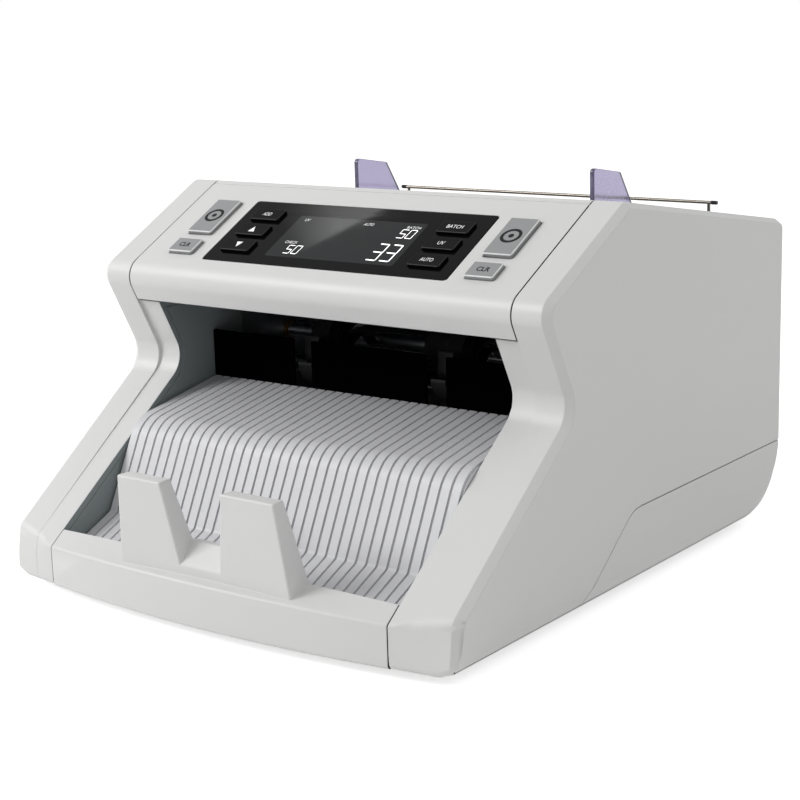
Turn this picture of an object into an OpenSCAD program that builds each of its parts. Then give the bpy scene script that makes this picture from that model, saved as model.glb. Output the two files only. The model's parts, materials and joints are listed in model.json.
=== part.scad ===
// Friction-feed banknote counter: a light grey case with a sloping control panel,
// an open ribbed pocket at the front, a note hopper at the top rear, and the
// rollers, belts, motors and boards that carry notes from one to the other.
// The front faces -Y and up is +Z. The origin is at the middle of the footprint,
// on the surface that the feet stand on. Inside the modules, depths are measured
// from the tray's front seam and heights from the underside of the case.

/* [Case] */
// Width across the two side covers
body_w = 246; // [240:1:256]
// Depth from the tray's front seam to the rear face
body_depth = 278; // [276:1:290]
// Wall thickness of the mouldings
wall = 2.5; // [2:0.1:2.8]
// Gap left at the seams between mouldings
seam = 0.5; // [0.3:0.05:0.6]
// Width of a side cover's rim beside the control panel
rim_w = 17.5; // [16:0.5:20]
// Width of a front column beside the pocket
column_w = 29.5; // [27:0.5:31]
// Width of the flat bevel round the outer edge of a side cover
bevel_w = 3.5; // [2.5:0.1:4.5]
// How far that bevel steps back
bevel_d = 2.4; // [1.5:0.1:3]
// Radius of the bulge of the front face, seen from above
front_radius = 620; // [500:10:900]
// Height of the base pan's side wall, up to its seam
base_h = 34.3; // [32:0.1:37]
// Radius of the lower rear edge of the case
rear_radius = 30; // [20:1:34]
// Radius of the case's lower side edges
side_radius = 9; // [6:0.5:10]

/* [Side profile] */
// Depth of the point of the nose, before rounding
nose_y = 66.5; // [64:0.5:69]
// Height of the point of the nose
nose_z = 130.8; // [129:0.2:133]
// Rounding of the nose
nose_r = 9; // [5:0.5:11]
// Depth of the crest behind the panel
crest_y = 132.2; // [130:0.2:134]
// Height of the crest
crest_z = 165.8; // [164:0.2:168]
// Depth of the waist, the furthest-in point of the front
waist_y = 89; // [87:0.5:91]
// Height of the waist
waist_z = 86; // [84:0.5:88]
// Rounding of the waist
waist_r = 12; // [8:1:14]
// Rise over run of the sloping front below the waist
front_slope = 0.7626; // [0.74:0.002:0.78]
// Height of the top edge at the rear face
rear_top_z = 141.7; // [140:0.5:144]

/* [Pocket] */
// Height of the control panel cover's lower edge over the pocket
pocket_top_z = 116.7; // [115:0.2:118]
// Set-back of the inner part of each front column
column_step = 2; // [1:0.1:2.5]
// How far its slope dips below the outer slope at the waist
column_dip = 0.7; // [0.4:0.1:1]
// Height of the tray's front face
tray_h = 19.4; // [18:0.2:20]
// Depth of the tray's lip
lip_y = 8.7; // [8:0.1:9.5]
// Height of the lip's rear edge
lip_z = 25; // [24:0.2:26]
// Height of the top of the two note stops
stop_z = 59.9; // [54:0.5:64]
// Distance between ribs of the pocket plate
rib_pitch = 5.3; // [5:0.1:6]
// Width of a rib
rib_w = 4.1; // [3.5:0.1:4.5]
// Height of a rib
rib_h = 1.2; // [0.8:0.1:1.6]
// Thickness of the pocket plate under its ribs
plate_t = 2.2; // [1.8:0.1:2.6]

/* [Control panel] */
// Width of the black lens
lens_w = 135; // [130:1:140]
// Height of the lens along the slope
lens_h = 45.8; // [44:0.2:48]
// Distance of the lens below the crest, along the slope
lens_s = 15; // [14:0.2:16]
// Corner radius of the display lens
lens_round = 1.4; // [1:0.1:3]
// Thickness of the lens
lens_t = 2; // [1.6:0.1:2.2]
// Travel of every key and button
key_travel = 1.2; // [0.8:0.1:1.5]
// Width of a black key
key_w = 16.5; // [14:0.5:17]
// Height of a black key
key_h = 8; // [7:0.5:9]
// Distance between rows of black keys
key_pitch = 11.9; // [11:0.1:12.5]
// Width of the large grey buttons
button_w = 14.4; // [12:0.1:15]
// Height of a start button
start_h = 25.6; // [23:0.2:27]
// Height of a clear button
clear_h = 9.9; // [9:0.1:11]
// Gap between the lens and the grey buttons
button_gap = 8; // [7:0.5:11]
// Clearance round keys, buttons and lens
key_gap = 0.35; // [0.25:0.05:0.5]

/* [Hopper] */
// Tilt of the feed plate
feed_tilt = 46.6; // [45:0.2:48]
// Depth of the hopper, from its front wall to the rear face
hopper_d = 90; // [88:0.5:92]
// Rest distance of a note guide from the side of the pocket below
guide_inset = 25.5; // [24:0.5:30]
// Thickness of a note guide
guide_t = 2.4; // [2:0.1:3]
// Height of the note guides' front corner
guide_top_z = 172; // [170:0.5:174]
// Diameter of the note rest wire
wire_d = 1.6; // [1.2:0.1:2.6]
// Distance of the note rest's legs from the side of the pocket below
leg_inset = 4; // [3:0.5:8]
// Distance of the note rest from the rear face
rest_inset = 13; // [12:0.5:14]
// Height of the note rest wire
rest_z = 149.5; // [149:0.1:151]

/* [Mechanism] */
// Diameter of the shaft journals
journal_d = 6; // [5:0.5:8]
// Radial running clearance of shafts and slides
run = 0.05; // [0.03:0.01:0.1]
// Radius of the pick-up rollers
pickup_r = 14; // [13:0.5:14.5]
// Radius of the feed roller
feed_r = 16; // [15:0.5:16.5]
// Radius of the transport rollers
transport_r = 9; // [8:0.5:9.5]
// Radius of the pinch rollers
pinch_r = 7; // [6:0.5:7.5]
// Radius of the stacker wheels, over their fingers
stacker_r = 27; // [24:0.5:27.5]
// Fingers on each stacker wheel
finger_n = 12; // [8:1:14]
// Radius of the main motor
motor_r = 20; // [17:0.5:21]
// Thickness of the steel side frames
frame_t = 1.6; // [1.2:0.1:2]
// Height of the rubber feet
foot_h = 4; // [3:0.5:6]

/* [Hidden] */
$fn = 48;

half_w = body_w / 2;
pocket_x = half_w - column_w;
panel_half_w = half_w - rim_w;
shell_c = [0.86, 0.86, 0.86];
dark_c = [0.38, 0.41, 0.41];
black_c = [0.08, 0.08, 0.09];
steel_c = [0.66, 0.67, 0.69];

nose = [nose_y, nose_z];
crest = [crest_y, crest_z];
waist = [waist_y, waist_z];
rear_top = [body_depth, rear_top_z];
panel_tilt = atan2(crest_z - nose_z, crest_y - nose_y);
// Half depth of the footprint: the origin lies this far behind the front seam
front_bulge = pocket_x * pocket_x / (2 * front_radius);
mid_y = (body_depth - front_bulge) / 2;
far = 400;
lap = 0.01;
arc_n = 10;
plate_arc_n = 6;

// Openings and mouldings
floor_half_w = half_w - side_radius - wall - 2;
base_bend_y = waist_y + 46;
heart = [waist_y + 21, waist_z - 16];
edge_band = 3;
wall_inset = edge_band + 0.4;
tray_rise = 1.6;
pocket_gap = 0.35;
panel_end_y = crest_y - 2.7;
flange_depth = 10;
hopper_y = body_depth - hopper_d;
ledge_w = 17.2;
ledge_y = body_depth - ledge_w;
cheek_x = pocket_x + 0.5;
cheek_t = 2.4;
frame_x = cheek_x + cheek_t + 0.5;
shelf_end_y = 110.2;
screen_t = 1.8;
screen_top_z = 97;

// Places on the control panel: distances down the slope from the crest
left_key_x = -(lens_w - key_w) / 2 + 6.25;
right_key_x = (lens_w - key_w) / 2 - 7.25;
key_s = lens_s + 7.2;
button_x = lens_w / 2 + button_gap + button_w / 2;
start_s = lens_s + 2.5;
clear_s = start_s + start_h + 5.5;
button_rise = 1.8;
key_rise = 1.5;
cap_sink = 2.4;
stem_r = 1.6;
switch_h = 4.6;
board_drop = 12.4;
board_t = 1.6;
lcd_size = [lens_w - 61, lens_h - 11.8];
lcd_x = 1;
lcd_s = lens_s + 9.1;
post_x = lens_w / 2 + 4.4;
board_w = 2 * (button_x + 6);

// Hopper geometry
rest_y = body_depth - rest_inset;
leg_x = pocket_x - leg_inset;
guide_x = pocket_x - guide_inset;
feed_dir = [cos(feed_tilt), sin(feed_tilt)];
feed_out = [-feed_dir[1], feed_dir[0]];
feed_top = [rest_y, rest_z + 1.2];
gate_y = rest_y - 38.5;
gate = feed_top - feed_dir * (rest_y - gate_y) / feed_dir[0];
wall_top = [hopper_y + 2, top_z(hopper_y + 2) - 0.4];
wall_dir = unit(wall_top - gate);
wall_out = [wall_dir[1], -wall_dir[0]];
plate_h = 2.5;
guide_slot = wall_top - wall_dir * 10.5;
guide_in = 16;
guide_out = 20;
rail = guide_slot - wall_out * 9.7;
rail_r = 3;
block_w = 16;

// Shafts: depth and height of each axis
nip = gate - feed_dir * 19.6;
feed_c = nip - feed_out * (feed_r + 0.1);
pickup_c = nip + feed_dir * 33.4 - feed_out * (pickup_r - 1);
retard_r = 10;
retard_c = nip + feed_out * (retard_r + 0.3);
path_z = 79.5;
stacker_c = [shelf_end_y + 28.3, 79];
transport_c = [stacker_c[0] + 33.5, path_z - transport_r - 0.1];
pinch_c = [transport_c[0], path_z + pinch_r + 0.2];
main_motor_c = [body_depth - 50, 40];
stacker_motor_c = [transport_c[0] - 12, 30];
stacker_motor_r = 16;
shaft_r = 4;
journal_r = journal_d / 2;
bush_r = journal_r + 2;
bush_flange = 1.6;
belt_x = [frame_x + frame_t + bush_flange + 0.8, frame_x + frame_t + bush_flange + 7.8];
pulley_w = 6;
flange_w = 0.8;
belt_t = 1.2;
belt_gap = 0.3;
motor_pulley_r = 7;
feed_pulley_r = 14;
feed_pulley2_r = 12;
pickup_pulley_r = feed_pulley2_r * pickup_r / feed_r;
stacker_motor_pulley_r = 6;
transport_pulley_r = 10;
transport_pulley2_r = 6.5;
stacker_pulley_r = 19.5;
wheel_x = 38;
wheel_w = 8;
roller_x = 20;
gear_teeth = 12;
gear_pitch_r = 6;
pinion_y = rail[0] - 8.4;
rack_z = rail[1] - 9.6;
rack_h = 3.4;
bridge_z = rack_z - 3;
tie_bars_at = [[shelf_end_y + 15.4, 42], [body_depth - 16, 80], [hopper_y - 8, 118]];
tie_r = 4;
foot_x = half_w - 31;
foot_at = [[foot_x, 24], [foot_x, body_depth - 42]];
screw_at = [[60, 14], [half_w - 19, 118], [half_w - 19, body_depth - 52], [40, body_depth - 78]];
vent_y = body_depth - 138;

// Boards on the floor: front left corner and size of each, and its posts
main_board_at = [-pocket_x + 7.5, 42];
main_board_size = [2 * (pocket_x - 7.5), 66];
supply_at = [8, body_depth - 84];
supply_size = [80, 62];
post_h = 7.5;
supply_post_h = 5.5;
function posts_of(at, size, edge) = [for (x = [edge, size[0] - edge], y = [edge, size[1] - edge]) at + [x, y]];

// Rear panel: centres and sizes of what is let into it, across and up
inlet_at = [-70, 62];
inlet_size = [28, 22];
switch_at = [-38, 62];
switch_size = [14, 22];
socket_at = [45, 58];
socket_size = [16, 14];
rocker_y = body_depth - 5.6;
rocker_tilt = 6.2;
rocker_pin_r = 1.2;

function unit(v) = v / norm(v);
function cross2(a, b) = a[0] * b[1] - a[1] * b[0];
function turned(v, a) = [v[0] * cos(a) - v[1] * sin(a), v[0] * sin(a) + v[1] * cos(a)];
function flat(p) = [p[0], p[1]];

// Points of an arc of radius r that rounds the corner q between p and s
function corner_arc(p, q, s, r, n = arc_n) =
    let (a = unit(p - q), b = unit(s - q), half = acos(a * b) / 2,
         centre = q + unit(a + b) * r / sin(half),
         first = q + a * r / tan(half) - centre,
         last = q + b * r / tan(half) - centre,
         step = (180 - 2 * half) * sign(cross2(first, last)) / n)
    [for (i = [0:n]) centre + turned(first, i * step)];

// A closed outline from corners [depth, height, rounding radius]
function rounded(c) =
    let (n = len(c))
    [for (i = [0:n - 1])
        each corner_arc(flat(c[(i + n - 1) % n]), flat(c[i]), flat(c[(i + 1) % n]), c[i][2])];

// The same corners moved d inwards, for an outline that runs anticlockwise
function inset(c, d) =
    let (n = len(c))
    [for (i = [0:n - 1])
        let (p = flat(c[(i + n - 1) % n]), q = flat(c[i]), s = flat(c[(i + 1) % n]),
             e = unit(q - p), f = unit(s - q),
             m = [-e[1], e[0]], k = [-f[1], f[0]],
             at = q + d * (m + k) / (1 + m * k),
             r = c[i][2] - d * sign(cross2(e, f)))
        [at[0], at[1], max(0.5, r)]];

// Shape of the case at the distance x from its middle
function front_y(x) = (x * x - pocket_x * pocket_x) / (2 * front_radius);
function slope_z(y) = waist_z - (waist_y - y) * front_slope;
function top_z(y) = crest_z + (y - crest_y) * (rear_top_z - crest_z) / (body_depth - crest_y);
function side_lift(x) =
    x <= half_w - side_radius ? 0
    : side_radius - sqrt(pow(side_radius, 2) - pow(x - half_w + side_radius, 2));
function bevel(x) = max(0, bevel_d * (x - half_w + bevel_w) / bevel_w);
function lean(x) = max(0, (x - pocket_x) / (half_w - pocket_x));
// The knee over the toe is crisp at the pocket and soft further out
knee_from = pocket_x + 3;
knee_to = pocket_x + 10;
function knee(x) =
    let (y = front_y(x) + 1.5 * lean(x),
         soft = min(1, max(0, (x - knee_from) / (knee_to - knee_from))))
    [y, slope_z(y), 2 + 6 * soft * soft * (3 - 2 * soft)];
function case_points(x) = [
    [front_y(x) - 1.5 * lean(x), side_lift(x) - bevel(x), 3],
    [body_depth, side_lift(x) - bevel(x), rear_radius],
    [rear_top[0], rear_top[1], 5],
    [crest[0], crest[1], 6],
    [nose[0], nose[1], nose_r],
    [waist[0], waist[1], waist_r],
    knee(x)
];
function case_outline(x) = rounded(inset(case_points(x), bevel(x)));

// The set-back inner part of a front column, a hair inside the outer part
tuck = 0.05;
column_waist = waist + column_step * 0.6 * [1, front_slope]
    + column_dip * unit([front_slope, -1]);
column_top = [waist_y - (pocket_top_z - waist_z) * (waist_y - nose_y) / (nose_z - waist_z)
              + column_step, pocket_top_z - seam];
function column_points(x, back) = [
    [front_y(x) - 1.5 * lean(x), 0, 3],
    [back, 0, 1],
    [back, column_top[1], 1],
    [column_top[0], column_top[1], 0.6],
    [column_waist[0], column_waist[1], waist_r],
    knee(x)
];

module in_place() translate([0, -mid_y, foot_h]) children();
module along_x(from, to) translate([from, 0, 0]) rotate([90, 0, 90]) linear_extrude(to - from) children();
module both_sides() { children(); mirror([1, 0, 0]) children(); }
module block(from, to) translate(from) cube(to - from);
module disc_x(at, from, to, r)
    translate([from, at[0], at[1]]) rotate([0, 90, 0]) cylinder(h = to - from, r = r);
module on_panel() translate([0, crest[0], crest[1]]) rotate([panel_tilt, 0, 0]) children();
module below(s, x, size, h0, h1)
    translate([x - size[0] / 2, -s - size[1], h0]) cube([size[0], size[1], h1 - h0]);

// A skin through outlines with equal numbers of points. Both ends are closed by
// triangles round the heart, a place from which the whole outline can be seen.
module loft(xs, outlines, heart) {
    n = len(outlines[0]);
    m = len(xs);
    skin = [for (i = [0:m - 1]) for (p = outlines[i]) [xs[i], p[0], p[1]]];
    points = concat(skin, [[xs[0], heart[0], heart[1]], [xs[m - 1], heart[0], heart[1]]]);
    sides = [for (i = [0:m - 2]) for (j = [0:n - 1])
        let (a = i * n + j, b = i * n + (j + 1) % n)
        each [[a, a + n, b], [b, a + n, b + n]]];
    caps = [for (j = [0:n - 1])
        let (k = (j + 1) % n, last = (m - 1) * n)
        each [[j, k, m * n], [last + k, last + j, m * n + 1]]];
    polyhedron(points, concat(sides, caps));
}

function side_rings(from) = [
    from, (from + half_w - side_radius) / 2, half_w - side_radius,
    half_w - bevel_w, half_w - bevel_w * 0.4, half_w
];
module side_skin(from) {
    xs = side_rings(from);
    loft(xs, [for (x = xs) case_outline(x)], heart);
}
module column_skin() {
    xs = concat(pocket_x, [for (i = [0:4]) knee_from + i * (knee_to - knee_from) / 4], panel_half_w + 1);
    loft(xs, [for (x = xs) rounded(inset(column_points(x, waist_y + 40), tuck))], heart);
}
module case_skin() {
    half = [half_w - side_radius, half_w - bevel_w, half_w - bevel_w * 0.4, half_w];
    xs = concat([for (i = [3:-1:0]) -half[i]], half);
    loft(xs, [for (x = xs) case_outline(abs(x))], heart);
}
module case_inside() polygon(rounded(inset(case_points(half_w - side_radius), wall)));
module base_zone(rise) polygon(rounded([
    [base_bend_y - (base_h + 6) / front_slope, rise - 6, 0.5],
    [body_depth + 12, rise - 6, 0.5],
    [body_depth + 12, base_h + rise, 0.5],
    [base_bend_y, base_h + rise, 18]
]));
module front_arc(back)
    translate([0, front_radius - front_bulge, -1]) cylinder(h = far, r = front_radius - back, $fn = 180);

module base_pan() color(shell_c) in_place() difference() {
    union() {
        intersection() {
            block([-floor_half_w, -front_bulge, 0], [floor_half_w, body_depth - rear_radius, wall]);
            front_arc(wall + seam);
        }
        difference() {
            intersection() {
                case_skin();
                along_x(-half_w - 1, half_w + 1) base_zone(0);
            }
            along_x(-half_w + wall, half_w - wall) case_inside();
        }
        for (p = screw_at, s = [-1, 1]) translate([s * p[0], p[1], wall - lap]) cylinder(h = 5, r = 4);
        for (p = posts_of(main_board_at, main_board_size, 8))
            translate([p[0], p[1], wall - lap]) cylinder(h = post_h, r = 3);
        for (p = posts_of(supply_at, supply_size, 6))
            translate([p[0], p[1], wall - lap]) cylinder(h = supply_post_h, r = 3);
    }
    for (p = screw_at, s = [-1, 1]) translate([s * p[0], p[1], -1]) {
        cylinder(h = 20, r = 1.7);
        cylinder(h = 2.8, r = 3.4);
    }
    for (p = foot_at, s = [-1, 1]) translate([s * p[0], p[1], -1]) cylinder(h = 20, r = 2.6);
    for (i = [0:6]) block([-40, vent_y + i * 7, -1], [40, vent_y + i * 7 + 3, wall + 1]);
}

// Room for the floor of the base pan behind the front wall
module floor_slot() intersection() {
    w = floor_half_w + seam;
    block([-w, -front_bulge, -1], [w, far, wall + seam]);
    front_arc(wall);
}

module side_cover() difference() {
    union() {
        side_skin(panel_half_w);
        column_skin();
    }
    // Hollow behind the outer wall
    along_x(panel_half_w + wall, half_w - wall) case_inside();
    // Hollow of the column, below the panel cover's lower edge
    along_x(pocket_x + wall, panel_half_w + wall + lap) intersection() {
        case_inside();
        polygon([[-9, -9], [far, -9], [far, pocket_top_z - seam - wall], [-9, pocket_top_z - seam - wall]]);
    }
    // The wall beside the panel is a flange, open below
    along_x(panel_half_w - 1, panel_half_w + wall + 1) intersection() {
        polygon(rounded(inset(case_points(panel_half_w), flange_depth)));
        polygon([[-9, 0], [far, 0], [far, far], [-9, far]]);
    }
    along_x(pocket_x - 1, pocket_x + wall + 1)
        polygon(rounded(inset(column_points(pocket_x, waist_y + 60), edge_band)));
    // Room for the base pan
    along_x(pocket_x - 1, half_w + 1) base_zone(seam);
    floor_slot();
}
module right_side_cover() color(shell_c) in_place() side_cover();
module left_side_cover() color(shell_c) in_place() mirror([1, 0, 0]) side_cover();

// The band of case wall between the side covers, as seen from the side
module middle_band() difference() {
    polygon(rounded(case_points(pocket_x)));
    polygon(rounded(inset(case_points(pocket_x), wall)));
}
module band_part(y0, z0, y1, z1) intersection() {
    middle_band();
    polygon([[y0, z0], [y1, z0], [y1, z1], [y0, z1]]);
}

module rounded_plate(size, r, t) linear_extrude(t) {
    for (x = [-1, 1], y = [-1, 1])
        translate([x * (size[0] / 2 - r), y * (size[1] / 2 - r)]) circle(r = r);
    square([size[0], size[1] - 2 * r], center = true);
    square([size[0] - 2 * r, size[1]], center = true);
}
module panel_plate(s, x, size, r, h0, h1)
    translate([x, -s - size[1] / 2, h0]) rounded_plate(size, r, h1 - h0);

module control_panel_cover() color(shell_c) in_place() difference() {
    w = panel_half_w - seam;
    union() {
        along_x(-w, w) band_part(0, pocket_top_z, panel_end_y, far);
        // Stiffening lip along the lower edge
        along_x(-w, w) polygon([
            [nose_y + 9, pocket_top_z], [nose_y + 17, pocket_top_z],
            [nose_y + 17, pocket_top_z + wall], [nose_y + 8, pocket_top_z + wall]
        ]);
        on_panel() {
            below(lens_s - 5, 0, [lens_w + 10, lens_h + 10], -wall - 1.4, -wall + lap);
            for (s = [lens_s + 1, lens_s + lens_h - 2], x = [-post_x, post_x])
                translate([x, -s, -board_drop]) cylinder(h = board_drop - wall + lap, r = 2.6);
        }
    }
    on_panel() {
        panel_plate(lens_s - key_gap, 0, [lens_w + 2 * key_gap, lens_h + 2 * key_gap],
            lens_round + key_gap, -lens_t, 5);
        panel_plate(lens_s + 2.4, 0, [lens_w - 4.8, lens_h - 4.8], 2, -9, 5);
        for (side = [-1, 1]) {
            panel_plate(start_s - key_gap, side * button_x,
                [button_w + 2 * key_gap, start_h + 2 * key_gap], 1.2, -9, 5);
            panel_plate(clear_s - key_gap, side * button_x,
                [button_w + 2 * key_gap, clear_h + 2 * key_gap], 1.2, -9, 5);
        }
    }
}
module top_cover() color(shell_c) in_place() {
    w = panel_half_w - seam;
    along_x(-w, w) band_part(panel_end_y + seam, pocket_top_z, hopper_y, far);
}
module rear_cover() color(shell_c) in_place() difference() {
    w = panel_half_w - seam;
    union() {
        along_x(-w, w) band_part(ledge_y, base_h + seam, body_depth + 1, far);
        for (s = [-1, 1]) translate([s * leg_x, rest_y, top_z(rest_y) - 16]) cylinder(h = 14.5, r = 3.4);
    }
    for (s = [-1, 1]) translate([s * leg_x, rest_y, 90]) cylinder(h = 80, r = wire_d / 2 + run);
    rear_cut(inlet_at, inlet_size + [seam, seam]);
    rear_cut(switch_at, switch_size + [seam, seam]);
    rear_cut(socket_at, socket_size + [seam, seam]);
    for (i = [0:7]) rear_cut([-10 + i * 9, 112], [4, 26]);
}
module rear_cut(at, size) block(
    [at[0] - size[0] / 2, body_depth - wall - 3, at[1] - size[1] / 2],
    [at[0] + size[0] / 2, body_depth + 1, at[1] + size[1] / 2]);

// The tray: a bulging front, a sloping lip and two note stops that lean forward
function tray_points(x, d) =
    let (knee_z = slope_z(0) + tray_rise * (1 - pow(x / pocket_x, 2)))
    inset([
        [front_y(x), 0, 2], [lip_y, 0, 0.6], [lip_y, lip_z - 0.3, 0.6], [front_y(x), knee_z, 1.6]
    ], d);
module tray_shell(w, d) {
    xs = [for (i = [-4:4]) i * w / 4];
    loft(xs, [for (x = xs) rounded(tray_points(x, d))], [lip_y / 2, tray_h / 2]);
}
// Across the stop: inner and outer edge at the base, then at the top
module note_stop(base, top) hull() {
    r = 1;
    for (p = [
        [base[0], -1.4, 17.5], [base[1], -1.4, 17.5], [base[0] + 1.2, 8.4, 23.5], [base[1] + 0.2, 8.4, 23],
        [top[0], -5, stop_z - r], [top[1], -5, stop_z - r],
        [top[0] + 0.4, 0.5, stop_z - r], [top[1] - 0.6, 0.5, stop_z - r]
    ]) translate(p) sphere(r = r, $fn = 16);
}
module front_tray() color(shell_c) in_place() {
    w = pocket_x - seam;
    difference() {
        tray_shell(w, 0);
        translate([0, 0, -wall - 1]) tray_shell(w - wall, wall);
        tray_shell(w - wall, wall);
        floor_slot();
    }
    note_stop([10.2, 47], [16.4, 42.8]);
    mirror([1, 0, 0]) note_stop([10.8, 45.8], [18.6, 41.4]);
    // Floor of the notch between the stops, its front in line with theirs
    hull() {
        for (x = [-13, 13], p = [[-0.4, 18.5], [-1, 24.2]])
            translate([x, p[0], p[1]]) sphere(r = 2, $fn = 16);
        block([-13.5, 5.2, 31], [13.5, 8.4, 33.4]);
        block([-13, 7.4, 17], [13, 8.4, 24]);
    }
}

// The ribbed plate that the counted notes stand on and lean against
plate_line = [[lip_y + 0.8, 12.9], [36.2, 24.8, 3], [55.74, 64.1, 16], [shelf_end_y, 74.1]];
plate_drop = [1.5, -plate_t - 0.3];
rib_lift = [-0.6, rib_h * 0.85];
function open_rounded(c) = concat(
    [c[0]],
    corner_arc(c[0], flat(c[1]), flat(c[2]), c[1][2], plate_arc_n),
    corner_arc(flat(c[1]), flat(c[2]), c[3], c[2][2], plate_arc_n),
    [c[3]]);
function moved(line, by) = [for (p = line) p + by];
function reversed(line) = [for (i = [len(line) - 1:-1:0]) line[i]];
module pocket_plate() color([0.8, 0.8, 0.8]) in_place() {
    line = open_rounded(plate_line);
    n = len(line) - 1;
    w = pocket_x - pocket_gap;
    back = concat(moved([for (i = [0:n - 1]) line[i]], plate_drop), [line[n] + [0, plate_drop[1]]]);
    crown = concat(
        [line[0] + [0, rib_h]], moved([for (i = [1:n - 1]) line[i]], rib_lift), [line[n] + [0, rib_lift[1]]]);
    count = floor((w - rib_w / 2) / rib_pitch);
    along_x(-w, w) polygon(concat(reversed(line), back));
    for (i = [-count:count])
        along_x(i * rib_pitch - rib_w / 2, i * rib_pitch + rib_w / 2)
            polygon(concat(reversed(crown), moved(line, [0.05, -0.1])));
}

module pocket_wall() difference() {
    x = pocket_x + 0.1;
    back = tie_bars_at[0][0] + tie_r + 6;
    along_x(x, x + 1.8) polygon(rounded(inset([
        [0, 0, 1], [back, 0, 1], [back, pocket_top_z - seam, 1], [column_top[0], pocket_top_z - seam, 1],
        [column_waist[0], column_waist[1], waist_r], knee(pocket_x)
    ], wall_inset)));
    disc_x(tie_bars_at[0], x - 1, x + 4, tie_r + 0.1);
}
module right_pocket_wall() color(dark_c) in_place() pocket_wall();
module left_pocket_wall() color(dark_c) in_place() mirror([1, 0, 0]) pocket_wall();

module pocket_ceiling() color(black_c) in_place() {
    w = pocket_x - pocket_gap;
    y = nose_y + 17.3;
    end = [stacker_c[0] + 22, stacker_c[1] + stacker_r + 1];
    along_x(-w, w) polygon([
        [y, pocket_top_z], end, end + [0, 2], [y, pocket_top_z + 2]
    ]);
}
module stacker_screen() color(black_c) in_place() difference() {
    w = pocket_x - pocket_gap;
    y = shelf_end_y + seam;
    union() {
        block([-w, y, 60], [w, y + screen_t, screen_top_z]);
        block([-w, y, 38], [w, y + screen_t, 60 + lap]);
        along_x(-w, w) polygon([
            [y, 46], [tie_bars_at[0][0] - tie_r, 42], [tie_bars_at[0][0] - tie_r, 40], [y, 42]
        ]);
    }
    for (s = [-1, 1])
        block([s * wheel_x - wheel_w / 2 - 1.5, y - 1, 48], [s * wheel_x + wheel_w / 2 + 1.5, y + 4, far]);
}

// Control panel parts, all in the plane of the panel
key_rows = [key_s, key_s + key_pitch, key_s + 2 * key_pitch];
module lens_holes() for (s = key_rows, x = [left_key_x, right_key_x])
    panel_plate(s - key_gap, x, [key_w + 2 * key_gap, key_h + 2 * key_gap], 1.2, -lens_t - 1, 3);
module display_lens() color([0.03, 0.03, 0.04]) in_place() on_panel() difference() {
    panel_plate(lens_s, 0, [lens_w, lens_h], lens_round, -lens_t, 0);
    lens_holes();
}
module lcd_module() color([0.12, 0.13, 0.14]) in_place() on_panel() {
    below(lcd_s, lcd_x, lcd_size, -board_drop, -lens_t - 0.4);
}
module switch_block(x, s) translate([x, -s, -board_drop - lap]) difference() {
    translate([-3.2, -3.2, 0]) cube([6.4, 6.4, switch_h]);
    translate([0, 0, 0.4]) cylinder(h = 9, r = stem_r + 0.1);
}
module display_board() color([0.1, 0.32, 0.2]) in_place() on_panel() {
    below(lens_s - 2, 0, [board_w, lens_h + 4], -board_drop - board_t, -board_drop);
    for (s = key_rows, x = [left_key_x, right_key_x]) switch_block(x, s + key_h / 2);
    for (x = [-button_x, button_x]) {
        switch_block(x, start_s + start_h / 2);
        switch_block(x, clear_s + clear_h / 2);
    }
}
module cap(s, x, size, rise) in_place() on_panel() {
    panel_plate(s, x, size, 0.9, -cap_sink, rise);
    translate([x, -s - size[1] / 2, -board_drop + key_travel + 0.8])
        cylinder(h = board_drop - key_travel - 0.8 - cap_sink + lap, r = stem_r);
}
module key(row, x) color(black_c) cap(key_rows[row], x, [key_w, key_h], key_rise);
module left_start_button() color([0.6, 0.6, 0.6]) cap(start_s, -button_x, [button_w, start_h], button_rise);
module right_start_button() color([0.6, 0.6, 0.6]) cap(start_s, button_x, [button_w, start_h], button_rise);
module left_clear_button() color([0.6, 0.6, 0.6]) cap(clear_s, -button_x, [button_w, clear_h], button_rise);
module right_clear_button() color([0.6, 0.6, 0.6]) cap(clear_s, button_x, [button_w, clear_h], button_rise);
module key_add() key(0, left_key_x);
module key_up() key(1, left_key_x);
module key_down() key(2, left_key_x);
module key_batch() key(0, right_key_x);
module key_uv() key(1, right_key_x);
module key_auto() key(2, right_key_x);

// Hopper: a sloping feed plate between two cheeks, and its front wall
module hopper_body() color(shell_c) in_place() difference() {
    low = nip + feed_dir * 10.5;
    high = feed_top - feed_dir * (rest_y - ledge_y + 2.4) / feed_dir[0];
    union() {
        along_x(-cheek_x - cheek_t, cheek_x + cheek_t)
            polygon([low - feed_out * plate_h, high - feed_out * plate_h, high, low]);
        both_sides() along_x(cheek_x, cheek_x + cheek_t) polygon([
            [hopper_y + seam, wall_top[1]], gate - wall_out * 2.2, low - feed_out * plate_h,
            high - feed_out * plate_h, [ledge_y - seam, top_z(ledge_y) - 1],
            [ledge_y - seam, top_z(ledge_y)], [hopper_y + seam, top_z(hopper_y + seam)]
        ]);
        both_sides() along_x(cheek_x, panel_half_w - seam) polygon([
            [hopper_y + seam, top_z(hopper_y + seam) - wall], [ledge_y - seam, top_z(ledge_y - seam) - wall],
            [ledge_y - seam, top_z(ledge_y - seam)], [hopper_y + seam, top_z(hopper_y + seam)]
        ]);
    }
    for (s = [-1, 1]) {
        p = pickup_c + feed_out * (pickup_r - 1);
        translate([s * roller_x - 7.5, p[0], p[1]]) rotate([feed_tilt, 0, 0])
            translate([0, -10.5, -plate_h - 1]) cube([15, 21, plate_h + 2]);
    }
}
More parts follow.
